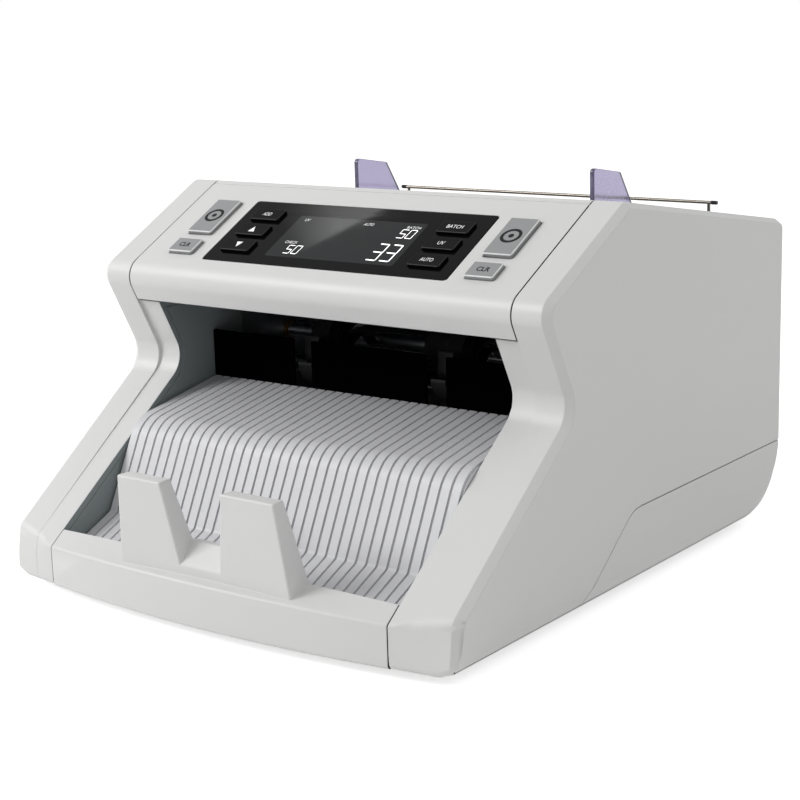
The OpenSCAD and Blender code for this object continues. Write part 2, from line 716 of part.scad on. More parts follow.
module hopper_front_wall() color(dark_c) in_place() difference() {
    low = gate + wall_dir * 4.5;
    w = cheek_x - pocket_gap;
    t = 2.2;
    along_x(-w, w) polygon([low, wall_top, wall_top - wall_out * t, low - wall_out * t]);
    for (s = [-1, 1]) {
        x0 = min(s * (guide_x - guide_in - 3.6), s * (guide_x + guide_out + 3.6));
        translate([x0, guide_slot[0], guide_slot[1]]) rotate([atan2(wall_out[1], wall_out[0]), 0, 0])
            translate([0, -5, -2.6]) cube([guide_in + guide_out + 7.2, 10, 5.2]);
    }
}

// Steel side frame with a bore for every shaft
shafts = [feed_c, pickup_c, transport_c, pinch_c, stacker_c];
module side_frame() difference() {
    along_x(frame_x, frame_x + frame_t) polygon([
        [shelf_end_y + 6, wall], [body_depth - rear_radius - 2, wall],
        [body_depth - 12, rear_radius - 6], [body_depth - 12, top_z(body_depth - 12) - 11.7],
        [hopper_y + 12, top_z(hopper_y + 12) - 5.6], [hopper_y - 16, top_z(hopper_y + 12) - 5.6],
        [hopper_y - 38, 112], [shelf_end_y + 6, 106]
    ]);
    for (c = shafts) disc_x(c, frame_x - 1, frame_x + 4, bush_r + 0.02);
    disc_x(main_motor_c, frame_x - 1, frame_x + 4, 6);
    disc_x(stacker_motor_c, frame_x - 1, frame_x + 4, 6);
}
module right_frame() color(steel_c) in_place() side_frame();
module left_frame() color(steel_c) in_place() mirror([1, 0, 0]) side_frame();
module tie_bars() color(steel_c) in_place() for (c = tie_bars_at) disc_x(c, -frame_x, frame_x, tie_r);
module shaft_bushings() color([0.55, 0.45, 0.3]) in_place() both_sides() for (c = shafts) difference() {
    union() {
        disc_x(c, frame_x - 0.8, frame_x + frame_t + lap, bush_r);
        disc_x(c, frame_x + frame_t, frame_x + frame_t + bush_flange, bush_r + 1.5);
    }
    disc_x(c, frame_x - 2, frame_x + 6, journal_r + run);
}

// Shafts, rollers, wheels and pulleys
module pulley(c, x, r) {
    disc_x(c, x, x + pulley_w, r);
    disc_x(c, x, x + flange_w, r + 1.6);
    disc_x(c, x + pulley_w - flange_w, x + pulley_w, r + 1.6);
}
module shaft(c, left, right) {
    disc_x(c, left, right, journal_r);
    disc_x(c, -frame_x + 1.2, frame_x - 1.2, shaft_r);
}
end_x = frame_x + frame_t + bush_flange + 0.5;
module pickup_shaft() color(dark_c) in_place() {
    shaft(pickup_c, -belt_x[1] - pulley_w, end_x);
    for (s = [-1, 1]) disc_x(pickup_c, s * roller_x - 6, s * roller_x + 6, pickup_r);
    pulley(pickup_c, -belt_x[1] - pulley_w, pickup_pulley_r);
}
module feed_shaft() color(dark_c) in_place() {
    shaft(feed_c, -belt_x[1] - pulley_w, end_x);
    for (s = [-1, 1]) disc_x(feed_c, s * roller_x - 11, s * roller_x + 11, feed_r);
    for (s = [-1, 1]) disc_x(feed_c, s * 66 - 8, s * 66 + 8, feed_r - 0.5);
    pulley(feed_c, -belt_x[0] - pulley_w, feed_pulley_r);
    pulley(feed_c, -belt_x[1] - pulley_w, feed_pulley2_r);
}
module transport_shaft() color(dark_c) in_place() {
    shaft(transport_c, -end_x, belt_x[1] + pulley_w);
    for (x = [-70, 0, 70]) disc_x(transport_c, x - 10, x + 10, transport_r);
    pulley(transport_c, belt_x[0], transport_pulley_r);
    pulley(transport_c, belt_x[1], transport_pulley2_r);
}
module pinch_shaft() color(dark_c) in_place() {
    shaft(pinch_c, -end_x, end_x);
    for (x = [-70, 0, 70]) disc_x(pinch_c, x - 8, x + 8, pinch_r);
}
module stacker_shaft() color(steel_c) in_place() {
    shaft(stacker_c, -end_x, belt_x[1] + pulley_w);
    pulley(stacker_c, belt_x[1], stacker_pulley_r);
}
// A curved finger from the hub out to the wheel's radius
function finger_edge(hub, sweep, shift) = [for (i = [0:6])
    let (t = i / 6, r = hub + (stacker_r - hub) * t, a = -sweep * t * t + shift * hub / r)
    [r * cos(a), r * sin(a)]];
module stacker_wheel(x) difference() {
    hub = 10;
    along_x(x - wheel_w / 2, x + wheel_w / 2) translate(stacker_c) {
        circle(r = hub);
        for (i = [0:finger_n - 1]) rotate(i * 360 / finger_n)
            polygon(concat(finger_edge(hub - 1, 46, 0), reversed(finger_edge(hub - 1, 46, 9))));
    }
    disc_x(stacker_c, x - wheel_w, x + wheel_w, shaft_r + 0.02);
}
module left_stacker_wheel() color(black_c) in_place() stacker_wheel(-wheel_x);
module right_stacker_wheel() color(black_c) in_place() stacker_wheel(wheel_x);

module retard_rollers() color([0.2, 0.2, 0.2]) in_place() {
    disc_x(retard_c, -frame_x, frame_x, 3);
    for (s = [-1, 1]) disc_x(retard_c, s * roller_x - 8, s * roller_x + 8, retard_r);
}
module path_plates() color(steel_c) in_place() {
    y1 = transport_c[0] + transport_r + 1.2;
    entry = nip - feed_dir * 7;
    // Lower plate, from below the nip to the transport rollers
    along_x(-frame_x, frame_x) polygon([
        [y1, path_z - 1.1], [y1, path_z - 2.6], [entry[0] - 8, path_z - 2.6],
        [entry[0] - 0.6, entry[1] - 3.2], entry + [-0.6, -1.4], [entry[0] - 9, path_z - 1.1]
    ]);
    // Upper plate, from the retard rollers to the pinch rollers
    along_x(-frame_x, frame_x) polygon([
        [y1, path_z + 2.6], [y1, path_z + 1.2], [entry[0] - 14, path_z + 1.2],
        entry + [-9.5, 2.4], entry + [-10.5, 3.6], [entry[0] - 15, path_z + 2.6]
    ]);
}
module note_sensor_head() color(black_c) in_place() {
    y = transport_c[0] + transport_r + 2;
    block([-64, y, path_z + 2.7], [64, y + 9, path_z + 9]);
    block([-64, y, path_z - 9], [64, y + 9, path_z - 2.7]);
}

// Drive
module motor_body(c, r, x0, x1, bore) difference() {
    union() {
        disc_x(c, x0 + 1.5, x1, r);
        disc_x(c, x0, x0 + 1.5 + lap, r * 0.6);
        disc_x(c, x1 - lap, x1 + 4, r * 0.35);
    }
    disc_x(c, x0 - 1, x0 + 22, bore);
}
module main_motor() color(steel_c) in_place()
    motor_body(main_motor_c, motor_r, -frame_x, -frame_x + 56, 2.05);
module stacker_motor() color(steel_c) in_place() mirror([1, 0, 0])
    motor_body(stacker_motor_c, stacker_motor_r, -frame_x, -frame_x + 46, 2.05);
module main_motor_pulley() color(steel_c) in_place() {
    disc_x(main_motor_c, -belt_x[0] - pulley_w, -frame_x + 20, 2);
    pulley(main_motor_c, -belt_x[0] - pulley_w, motor_pulley_r);
}
module stacker_motor_pulley() color(steel_c) in_place() {
    disc_x(stacker_motor_c, frame_x - 20, belt_x[0] + pulley_w, 2);
    pulley(stacker_motor_c, belt_x[0], stacker_motor_pulley_r);
}
// Area inside an open belt round two pulleys
module belt_area(a, ra, b, rb) {
    d = b - a;
    side = acos((ra - rb) / norm(d));
    along = atan2(d[1], d[0]);
    function at(c, r, s) = c + r * [cos(along + s * side), sin(along + s * side)];
    translate(a) circle(r = ra);
    translate(b) circle(r = rb);
    polygon([at(a, ra, -1), at(b, rb, -1), at(b, rb, 1), at(a, ra, 1)]);
}
module belt(a, ra, b, rb, x) along_x(x + flange_w + 0.3, x + pulley_w - flange_w - 0.3) difference() {
    belt_area(a, ra + belt_gap + belt_t, b, rb + belt_gap + belt_t);
    belt_area(a, ra + belt_gap, b, rb + belt_gap);
}
module drive_belts() color(black_c) in_place() {
    belt(main_motor_c, motor_pulley_r, feed_c, feed_pulley_r, -belt_x[0] - pulley_w);
    belt(feed_c, feed_pulley2_r, pickup_c, pickup_pulley_r, -belt_x[1] - pulley_w);
    belt(stacker_motor_c, stacker_motor_pulley_r, transport_c, transport_pulley_r, belt_x[0]);
    belt(transport_c, transport_pulley2_r, stacker_c, stacker_pulley_r, belt_x[1]);
}
module main_board() color([0.1, 0.32, 0.2]) in_place()
    translate([main_board_at[0], main_board_at[1], wall + post_h - lap]) {
        cube([main_board_size[0], main_board_size[1], board_t]);
        for (i = [0:3]) translate([main_board_size[0] * (i + 0.5) / 4 - 7, 20, board_t]) cube([14, 14, 2.4]);
        for (i = [0:4]) translate([main_board_size[0] * (i + 0.5) / 5 - 10, 56, board_t]) cube([20, 7, 9]);
    }
module power_supply() color([0.1, 0.32, 0.2]) in_place()
    translate([supply_at[0], supply_at[1], wall + supply_post_h - lap]) {
        cube([supply_size[0], supply_size[1], board_t]);
        translate([36, 6, board_t]) cube([40, 36, 32]);
        for (y = [10, 28]) translate([16, y, board_t]) cylinder(h = 24, r = 7);
    }

// Rear sockets and the mains switch
module power_inlet() color(black_c) in_place() difference() {
    union() {
        rear_block(inlet_at, inlet_size, 24);
        rear_block(switch_at, switch_size, 20);
        block([inlet_at[0], body_depth - 20, inlet_at[1] - 6],
            [switch_at[0], body_depth - 3.4, inlet_at[1] + 6]);
    }
    rear_block(inlet_at, inlet_size - [5, 6], 15, 1);
    rear_block(switch_at, switch_size - [3.4, 3.4], 9, 1);
    disc_x([rocker_y, switch_at[1]], switch_at[0] - 6.4, switch_at[0] + 6.4, rocker_pin_r + run);
}
module rear_block(at, size, deep, out = -0.5) block(
    [at[0] - size[0] / 2, body_depth - deep, at[1] - size[1] / 2],
    [at[0] + size[0] / 2, body_depth + out, at[1] + size[1] / 2]);
module power_rocker() color([0.15, 0.15, 0.15]) in_place() {
    translate([switch_at[0], rocker_y, switch_at[1]]) rotate([rocker_tilt, 0, 0])
        along_x(-4.9, 4.9) polygon([
            [-2.6, -3], [0.8, -8.3], [3.9, -8.3], [3.3, 0], [3.9, 8.3], [0.8, 8.3], [-2.6, 3]
        ]);
    disc_x([rocker_y, switch_at[1]], switch_at[0] - 6.1, switch_at[0] + 6.1, rocker_pin_r);
}
module display_socket() color([0.2, 0.2, 0.2]) in_place() difference() {
    rear_block(socket_at, socket_size, 16);
    rear_block(socket_at, socket_size - [4, 5.5], 13, 1);
}
module case_screws() color(steel_c) in_place() for (p = screw_at, s = [-1, 1])
    translate([s * p[0], p[1], 0.4]) {
        cylinder(h = 1.4, r = 3.1);
        cylinder(h = 6.6, r = 1.6);
    }
module foot(p, s) translate([s * p[0], p[1], -foot_h]) {
    cylinder(h = foot_h, r1 = 7.5, r2 = 8.5);
    cylinder(h = foot_h + wall, r = 2.5);
}
module front_feet() color([0.12, 0.12, 0.12]) in_place() for (s = [-1, 1]) foot(foot_at[0], s);
module rear_feet() color([0.12, 0.12, 0.12]) in_place() for (s = [-1, 1]) foot(foot_at[1], s);

// Note guides: two plates on one rail, moved in step by racks and a pinion
module guide_bridge() color(steel_c) in_place() {
    disc_x(rail, -frame_x, frame_x, rail_r);
    block([-frame_x, pinion_y - 12, bridge_z], [frame_x, pinion_y + 12, bridge_z + 1.5]);
    translate([0, pinion_y, bridge_z]) cylinder(h = 9, r = 2);
}
module tooth(thin, thick, height) polygon([
    [-thick / 2, -0.3], [thick / 2, -0.3], [thin / 2, height], [-thin / 2, height]
]);
gear_pitch = 2 * PI * gear_pitch_r / gear_teeth;
module guide_pinion() color([0.9, 0.9, 0.85]) in_place() translate([0, pinion_y, rack_z + 0.2]) difference() {
    linear_extrude(rack_h - 0.4) {
        circle(r = gear_pitch_r - 1.2);
        for (i = [0:gear_teeth - 1]) rotate(i * 360 / gear_teeth) translate([0, gear_pitch_r - 1.3])
            tooth(0.7, 1.5, 2.2);
    }
    translate([0, 0, -1]) cylinder(h = 9, r = 2 + run);
}
// Rack whose teeth point to -Y, with a tooth gap at x = 0
module rack(x0, x1) linear_extrude(rack_h) {
    translate([x0, 1.25]) square([x1 - x0, 3]);
    for (i = [ceil(x0 / gear_pitch):floor(x1 / gear_pitch) - 1])
        translate([(i + 0.5) * gear_pitch, 1.3]) mirror([0, 1]) tooth(0.7, 1.5, 2.2);
}
function wall_line_z(y) = wall_top[1] + (y - wall_top[0]) * wall_dir[1] / wall_dir[0];
function feed_line_z(y) = feed_top[1] + (y - feed_top[0]) * feed_dir[1] / feed_dir[0];
module note_guide(turned_round) difference() {
    front = hopper_y + 5;
    back = rest_y - 21.4;
    off = 1.3;
    near = guide_x - block_w / 2;
    away = guide_x + block_w / 2;
    shoulder = [gate_y + 0.5, gate[1] + 43];
    brow = [gate_y - 9.5, guide_top_z - 4];
    crown = [front, guide_top_z];
    union() {
        along_x(guide_x - guide_t / 2, guide_x + guide_t / 2) polygon(concat(
            [[front, wall_line_z(front) + off], [gate_y - 0.1, gate[1] + 1.7]],
            [[back, feed_line_z(back) + off], shoulder],
            corner_arc(shoulder, brow, crown, 2, 5),
            corner_arc(brow, crown, [front, 0], 2, 5)
        ));
        along_x(guide_x - 3, guide_x + 3) polygon([
            guide_slot - wall_out * 7 - wall_dir * 2.2, guide_slot + wall_out * 5 - wall_dir * 2.2,
            guide_slot + wall_out * 5 + wall_dir * 2.2, guide_slot - wall_out * 7 + wall_dir * 2.2
        ]);
        block([near, rail[0] - 5.5, rail[1] - 5.2], [away, rail[0] + 5, rail[1] + 5.2]);
        if (turned_round) {
            block([near, pinion_y - gear_pitch_r - 4, rack_z], [away, rail[0] + 2, rail[1] - 5]);
            translate([0, pinion_y - gear_pitch_r, rack_z]) mirror([0, 1, 0]) rack(-26, away);
        } else {
            block([near, pinion_y + gear_pitch_r + 1.3, rack_z], [away, rail[0] + 2, rail[1] - 5]);
            translate([0, pinion_y + gear_pitch_r, rack_z]) rack(-26, away);
        }
    }
    disc_x(rail, guide_x - block_w, guide_x + block_w, rail_r + run);
}
module right_note_guide() color([0.6, 0.58, 0.72, 0.6]) in_place() note_guide(false);
module left_note_guide() color([0.6, 0.58, 0.72, 0.6]) in_place() mirror([1, 0, 0]) note_guide(true);
module note_rest() color([0.3, 0.3, 0.3]) in_place() {
    disc_x([rest_y, rest_z], -leg_x - 4.5, leg_x + 4.5, wire_d / 2);
    for (s = [-1, 1]) translate([s * leg_x, rest_y, rest_z - 38]) cylinder(h = 38, r = wire_d / 2);
}

base_pan();
left_side_cover();
right_side_cover();
control_panel_cover();
top_cover();
rear_cover();
front_tray();
pocket_plate();
left_pocket_wall();
right_pocket_wall();
pocket_ceiling();
stacker_screen();
display_lens();
lcd_module();
display_board();
left_start_button();
right_start_button();
left_clear_button();
right_clear_button();
key_add();
key_up();
key_down();
key_batch();
key_uv();
key_auto();
hopper_body();
hopper_front_wall();
guide_bridge();
guide_pinion();
left_note_guide();
right_note_guide();
note_rest();
left_frame();
right_frame();
tie_bars();
shaft_bushings();
pickup_shaft();
feed_shaft();
transport_shaft();
pinch_shaft();
stacker_shaft();
left_stacker_wheel();
right_stacker_wheel();
retard_rollers();
path_plates();
note_sensor_head();
main_motor();
stacker_motor();
main_motor_pulley();
stacker_motor_pulley();
drive_belts();
main_board();
power_supply();
power_inlet();
power_rocker();
display_socket();
case_screws();
front_feet();
rear_feet();
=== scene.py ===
"""Looks of a banknote counter: moulded covers, display, keys and works, in a pale studio."""

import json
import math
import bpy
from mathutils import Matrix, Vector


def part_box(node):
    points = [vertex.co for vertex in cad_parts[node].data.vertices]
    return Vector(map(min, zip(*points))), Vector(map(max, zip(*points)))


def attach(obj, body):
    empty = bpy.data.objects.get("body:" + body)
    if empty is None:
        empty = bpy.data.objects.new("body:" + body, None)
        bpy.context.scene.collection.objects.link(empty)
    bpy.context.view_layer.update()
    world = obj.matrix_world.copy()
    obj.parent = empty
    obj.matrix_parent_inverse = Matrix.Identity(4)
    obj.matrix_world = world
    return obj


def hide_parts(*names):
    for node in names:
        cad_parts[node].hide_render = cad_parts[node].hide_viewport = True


bl_info = {
    "name": "Banknote Counter",
    "version": (1, 0, 0),
    "blender": (4, 5, 0),
    "location": "View3D > Sidebar > Counter",
    "description": "Dresses the frame of a banknote counter and sets up its studio",
    "category": "Object",
}

import bmesh
import bpy
from bpy.props import FloatProperty, IntProperty, PointerProperty, StringProperty
from mathutils import Matrix, Vector
from mathutils.kdtree import KDTree

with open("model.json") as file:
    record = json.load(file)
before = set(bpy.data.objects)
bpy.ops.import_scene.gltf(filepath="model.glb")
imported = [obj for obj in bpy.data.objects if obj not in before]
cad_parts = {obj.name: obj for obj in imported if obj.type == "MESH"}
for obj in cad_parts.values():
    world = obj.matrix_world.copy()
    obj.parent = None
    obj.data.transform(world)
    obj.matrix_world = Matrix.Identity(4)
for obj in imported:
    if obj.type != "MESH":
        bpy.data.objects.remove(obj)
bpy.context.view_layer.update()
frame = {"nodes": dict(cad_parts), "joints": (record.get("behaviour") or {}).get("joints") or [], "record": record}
NODES = frame["nodes"]
JOINTS = {joint["name"]: joint for joint in frame["joints"]}
MM = 0.001
INK = 0.05 * MM  # thickness of a printed mark
WELD = 0.0005 * MM  # corners nearer than this are one
SEAM = 0.5  # mm, gap between two covers
BOARD = 1.7  # mm, a circuit board with its mask
UPRIGHT_FACE = 0.9  # share of a normal along an axis from which a face counts as square to it


# Places on the control panel, taken from the frame

def middle(node):
    """Middle of a node's box."""
    low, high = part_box(node)
    return (low + high) / 2


def panel_frame():
    """Frame of the sloping panel: x across, y up the slope from the lens's middle, z outwards."""
    outward = -Vector(JOINTS["key_add_press"]["axis"]).normalized()
    across = Vector((1, 0, 0))
    low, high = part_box("display_lens")
    lens_corner = max((v.co.copy() for v in NODES["display_lens"].data.vertices), key=outward.dot)
    centre = (low + high) / 2
    centre += outward * (lens_corner - centre).dot(outward)
    made = Matrix((across, outward.cross(across), outward)).transposed().to_4x4()
    made.translation = centre
    return made


PANEL = panel_frame()
LENS_MIDDLE = 37.9  # mm from the crest down to the lens's middle


def on_panel(x, down):
    """Panel coordinates of a place given in mm across and down from the crest."""
    return Vector((x * MM, (LENS_MIDDLE - down) * MM, 0))


def cap_top(node):
    """Middle of a key's or button's top face, in panel coordinates."""
    corners = [PANEL.inverted() @ v.co for v in NODES[node].data.vertices]
    top = max(c.z for c in corners)
    face = [c for c in corners if c.z > top - 0.1 * MM]
    spans = [(min(c[i] for c in face) + max(c[i] for c in face)) / 2 for i in (0, 1)]
    return Vector((spans[0], spans[1], top))


class CounterSizes(bpy.types.PropertyGroup):
    """Sizes of the dressing, over the frame's own sizes."""

    cover_edge: FloatProperty(
        name="Cover edge", description="Rounding of the covers' moulded edges",
        default=0.3 * MM, min=0.1 * MM, max=1.5 * MM, unit="LENGTH", precision=5)
    key_edge: FloatProperty(
        name="Key edge", description="Rounding of the black keys",
        default=0.5 * MM, min=0.1 * MM, max=1.2 * MM, unit="LENGTH", precision=5)
    button_edge: FloatProperty(
        name="Button edge", description="Rim round the grey start and clear buttons",
        default=0.45 * MM, min=0.1 * MM, max=1.2 * MM, unit="LENGTH", precision=5)
    guide_edge: FloatProperty(
        name="Guide edge", description="Rounding of the clear note guides",
        default=0.4 * MM, min=0.1 * MM, max=0.8 * MM, unit="LENGTH", precision=5)
    small_edge: FloatProperty(
        name="Small edge", description="Rounding of small inner pieces",
        default=0.25 * MM, min=0.05 * MM, max=0.6 * MM, unit="LENGTH", precision=5)
    bevel_steps: IntProperty(
        name="Bevel steps", description="Segments in each rounded edge", default=3, min=1, max=6)


class CounterColours(bpy.types.PropertyGroup):
    """Colours as sRGB hex values."""

    cover: StringProperty(
        name="Covers", description="Moulded light grey covers", default="#D9D9D8")
    plate: StringProperty(
        name="Ribbed plate", description="Plate the notes lean on", default="#D2D2D5")
    dark: StringProperty(
        name="Pocket walls", description="Inner walls of the pocket", default="#8A9293")
    black: StringProperty(
        name="Black plastic", description="Hidden black mouldings", default="#080809")
    lens: StringProperty(
        name="Lens", description="Black acrylic window", default="#0B0B0D")
    button: StringProperty(
        name="Grey buttons", description="Start and clear buttons", default="#8C8D8E")
    guide: StringProperty(
        name="Note guides", description="Smoke-coloured clear plastic", default="#ADA6C5")


# Selecting and shaping

def deselect():
    """Leaves edit mode and selects nothing."""
    if bpy.context.object and bpy.context.object.mode != "OBJECT":
        bpy.ops.object.mode_set(mode="OBJECT")
    bpy.ops.object.select_all(action="DESELECT")


def only(piece):
    """Selects one piece alone and makes it active."""
    deselect()
    piece.select_set(True)
    bpy.context.view_layer.objects.active = piece
    return piece


def clear_way(loop):
    """How far a face reaches straight in from one of its edges, at three places along the edge."""
    first, last = loop.vert.co, loop.link_loop_next.vert.co
    along = (last - first).normalized()
    inward = loop.face.normal.cross(along)
    nearest = 1.0
    beside = (loop, loop.link_loop_prev, loop.link_loop_next)
    for other in loop.face.loops:
        if other in beside:
            continue
        for part in (0.04, 0.5, 0.96):  # near the start, the middle and the end
            start = first.lerp(last, part)
            near, far = other.vert.co - start, other.link_loop_next.vert.co - start
            near_along, far_along = near.dot(along), far.dot(along)
            if (near_along > 0) != (far_along > 0):
                share = near_along / (near_along - far_along)
                depth = near.lerp(far, share).dot(inward)
                if depth > 0.001 * MM:
                    nearest = min(nearest, depth)
    return nearest


def free_width(loop, sharp):
    """Widest rounding that fits beside one sharp edge within one of its faces. It keeps to just
    under half of the face, or of an edge beside it, where another rounding may come from there."""
    used, room = 0.0, 0.45 * clear_way(loop)
    for corner, side in ((loop, loop.link_loop_prev), (loop.link_loop_next, loop.link_loop_next)):
        turn = max(corner.calc_angle(), 0.02)
        if side.edge not in sharp:
            far = side.edge.other_vert(corner.vert)
            share = 0.45 if any(edge in sharp for edge in far.link_edges) else 0.9
            room = min(room, side.edge.calc_length() * math.sin(turn) * share)
        elif corner.is_convex:
            used += 1 / math.tan(turn / 2)
    return min(room, 0.95 * loop.edge.calc_length() / used) if used > 0.01 else room


def share_out(flat, width, angle):
    """Writes on each sharp edge the share of the full rounding that it has room for,
    and none where that share is too small to show."""
    shape = bmesh.new()
    shape.from_mesh(flat)
    share = shape.edges.layers.float.new("bevel_weight_edge")
    sharp = {edge for edge in shape.edges
             if len(edge.link_faces) == 2 and edge.calc_face_angle(0) > math.radians(angle)}
    for edge in sharp:
        part = min(free_width(loop, sharp) for loop in edge.link_loops) / width
        edge[share] = min(1.0, part) if part > 0.12 else 0.0
    shape.to_mesh(flat)
    shape.free()


def folds(mesh):
    """Corners of faces that the rounding has folded over themselves."""
    mesh.calc_loop_triangles()
    corners, speck = set(), 0.001 * MM * MM
    for part in mesh.loop_triangles:
        face = mesh.polygons[part.polygon_index]
        if part.area > speck and part.normal.dot(face.normal) < 0.5:
            corners.update(part.vertices)
    return [mesh.vertices[i].co.copy() for i in corners]


def ease(flat, corners, reach, share):
    """Lowers the rounding of the sharp edges that end near folded corners."""
    tree = KDTree(len(corners))
    for i, corner in enumerate(corners):
        tree.insert(corner, i)
    tree.balance()
    near = [tree.find(v.co)[2] < reach for v in flat.vertices]
    rounding = flat.attributes["bevel_weight_edge"].data
    for edge in flat.edges:
        if near[edge.vertices[0]] or near[edge.vertices[1]]:
            rounding[edge.index].value *= share


def moulded_copy(node, name, width, steps=3, angle=32):
    """A copy of a frame node with its sharp edges rounded, each as far as its faces have room."""
    piece = bpy.data.objects.new(name, NODES[node].data.copy())
    bpy.context.scene.collection.objects.link(piece)
    only(piece)
    bpy.ops.object.mode_set(mode="EDIT")
    bpy.ops.mesh.select_all(action="SELECT")
    bpy.ops.mesh.remove_doubles(threshold=WELD)
    bpy.ops.mesh.dissolve_limited(angle_limit=math.radians(0.05))
    bpy.ops.object.mode_set(mode="OBJECT")
    if not width:
        even_shading(piece)
        return piece
    flat = piece.data
    share_out(flat, width, angle)
    for share in (0.6, 0.4, 0.3, 0.0, 0.0, None):  # how far each further try eases the folds
        piece.data = flat.copy()
        bevel = piece.modifiers.new("Moulded edge", "BEVEL")
        bevel.width = width
        bevel.segments = steps
        bevel.limit_method = "WEIGHT"
        bevel.use_clamp_overlap = False
        bpy.ops.object.modifier_apply(modifier=bevel.name)
        corners = folds(piece.data)
        if not corners or share is None:
            break
        ease(flat, corners, 1.6 * width, share)
    even_shading(piece)
    return piece


def even_shading(piece, angle=35):
    """Smooth over shallow angles, with the large faces kept flat."""
    only(piece)
    bpy.ops.object.shade_smooth_by_angle(angle=math.radians(angle))
    for modifier in [m for m in piece.modifiers if m.type == "NODES"]:
        bpy.ops.object.modifier_apply(modifier=modifier.name)
    weighted = piece.modifiers.new("Even shading", "WEIGHTED_NORMAL")
    weighted.keep_sharp = True
    bpy.ops.object.modifier_apply(modifier=weighted.name)


def set_down(piece, place):
    """Moves a flat-made piece to its place and settles that place into its mesh."""
    only(piece)
    piece.matrix_world = place @ piece.matrix_world
    bpy.ops.object.transform_apply(location=True, rotation=True, scale=True)
    return piece


def dyed(piece, material):
    """Gives a new piece one material."""
    piece.data.materials.clear()
    piece.data.materials.append(material)
    return piece


def joined(name, pieces):
    """Joins pieces into the first one."""
    deselect()
    for piece in pieces:
        piece.select_set(True)
    bpy.context.view_layer.objects.active = pieces[0]
    if len(pieces) > 1:
        bpy.ops.object.join()
    pieces[0].name = name
    return pieces[0]


def second_finish(piece, material, where):
    """A second material on the faces whose middle and normal pass a test, in mm."""
    piece.data.materials.append(material)
    slot = len(piece.data.materials) - 1
    for face in piece.data.polygons:
        if where(face.center / MM, face.normal):
            face.material_index = slot
    return piece


def slab(name, size, thick, round_off):
    """A flat plate about the origin, its top at z = thick, with rounded corners, in mm."""
    deselect()
    bpy.ops.mesh.primitive_plane_add(size=1)
    plate = bpy.context.object
    plate.name = name
    bpy.ops.object.mode_set(mode="EDIT")
    bpy.ops.mesh.select_all(action="SELECT")
    bpy.ops.transform.resize(value=(size[0] * MM, size[1] * MM, 1))
    bpy.ops.mesh.bevel(offset=round_off * MM, segments=6, affect="VERTICES")
    bpy.ops.mesh.select_all(action="SELECT")
    bpy.ops.mesh.extrude_region_move(TRANSFORM_OT_translate={"value": (0, 0, thick * MM)})
    bpy.ops.mesh.select_all(action="SELECT")
    bpy.ops.mesh.normals_make_consistent(inside=False)
    bpy.ops.object.mode_set(mode="OBJECT")
    return plate


def lettering(words, size, bold=0.0):
    """Words as a thin raised print about the origin, fitted to a width and cap height in mm."""
    deselect()
    bpy.ops.object.text_add()
    text = bpy.context.object
    text.data.body = words
    text.data.offset = bold
    bpy.ops.object.convert(target="MESH")
    text = bpy.context.object
    spans = [[getattr(v.co, axis) for v in text.data.vertices] for axis in "xy"]
    low = [min(span) for span in spans]
    wide = [max(span) - min(span) for span in spans]
    for vertex in text.data.vertices:
        for axis in (0, 1):
            vertex.co[axis] = ((vertex.co[axis] - low[axis]) / wide[axis] - 0.5) * size[axis] * MM
    return thickened(text)


def thickened(flat):
    """Gives a flat print its thickness, upwards from its own plane."""
    only(flat)
    bpy.ops.object.mode_set(mode="EDIT")
    bpy.ops.mesh.select_all(action="SELECT")
    bpy.ops.mesh.remove_doubles(threshold=WELD)
    bpy.ops.mesh.select_all(action="SELECT")
    bpy.ops.mesh.extrude_region_move(TRANSFORM_OT_translate={"value": (0, 0, INK)})
    bpy.ops.mesh.select_all(action="SELECT")
    bpy.ops.mesh.normals_make_consistent(inside=False)
    bpy.ops.object.mode_set(mode="OBJECT")
    return flat


def arrow(direction, width=3.4, height=3.8):
    """A triangle that points up (1) or down (-1), its size in mm."""
    deselect()
    bpy.ops.mesh.primitive_circle_add(vertices=3, radius=1, fill_type="NGON")
    mark = bpy.context.object
    tip = max(v.co.y for v in mark.data.vertices)
    low = min(v.co.y for v in mark.data.vertices)
    half = max(v.co.x for v in mark.data.vertices)
    for vertex in mark.data.vertices:
        vertex.co.x *= width / 2 * MM / half
        vertex.co.y = direction * ((vertex.co.y - low) / (tip - low) - 0.5) * height * MM
    return thickened(mark)


def disc(radius, hole=0.0):
    """A printed dot, or a ring with a hole, in mm."""
    deselect()
    bpy.ops.mesh.primitive_circle_add(vertices=64, radius=radius * MM, fill_type="NGON")
    mark = bpy.context.object
    if hole:
        bpy.ops.object.mode_set(mode="EDIT")
        bpy.ops.mesh.select_all(action="SELECT")
        bpy.ops.mesh.inset(thickness=(radius - hole) * MM)
        bpy.ops.mesh.delete(type="FACE")
        bpy.ops.object.mode_set(mode="OBJECT")
    return thickened(mark)


def body_of_node(node):
    """Name of the body a frame node belongs to."""
    bodies = frame["record"]["behaviour"]["bodies"]
    return next(body for body, members in bodies.items() if node in members)


def stand_in(piece, node, material):
    """A finished piece takes its node's place, body and material slot."""
    piece.data.materials.clear()
    piece.data.materials.append(material)
    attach(piece, body_of_node(node))
    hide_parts(node)
    return piece


# Materials

def linear(hex_colour):
    """Linear RGBA of an sRGB hex value."""
    parts = [int(hex_colour[i:i + 2], 16) / 255 for i in (1, 3, 5)]
    return [p / 12.92 if p <= 0.04045 else ((p + 0.055) / 1.055) ** 2.4 for p in parts] + [1.0]


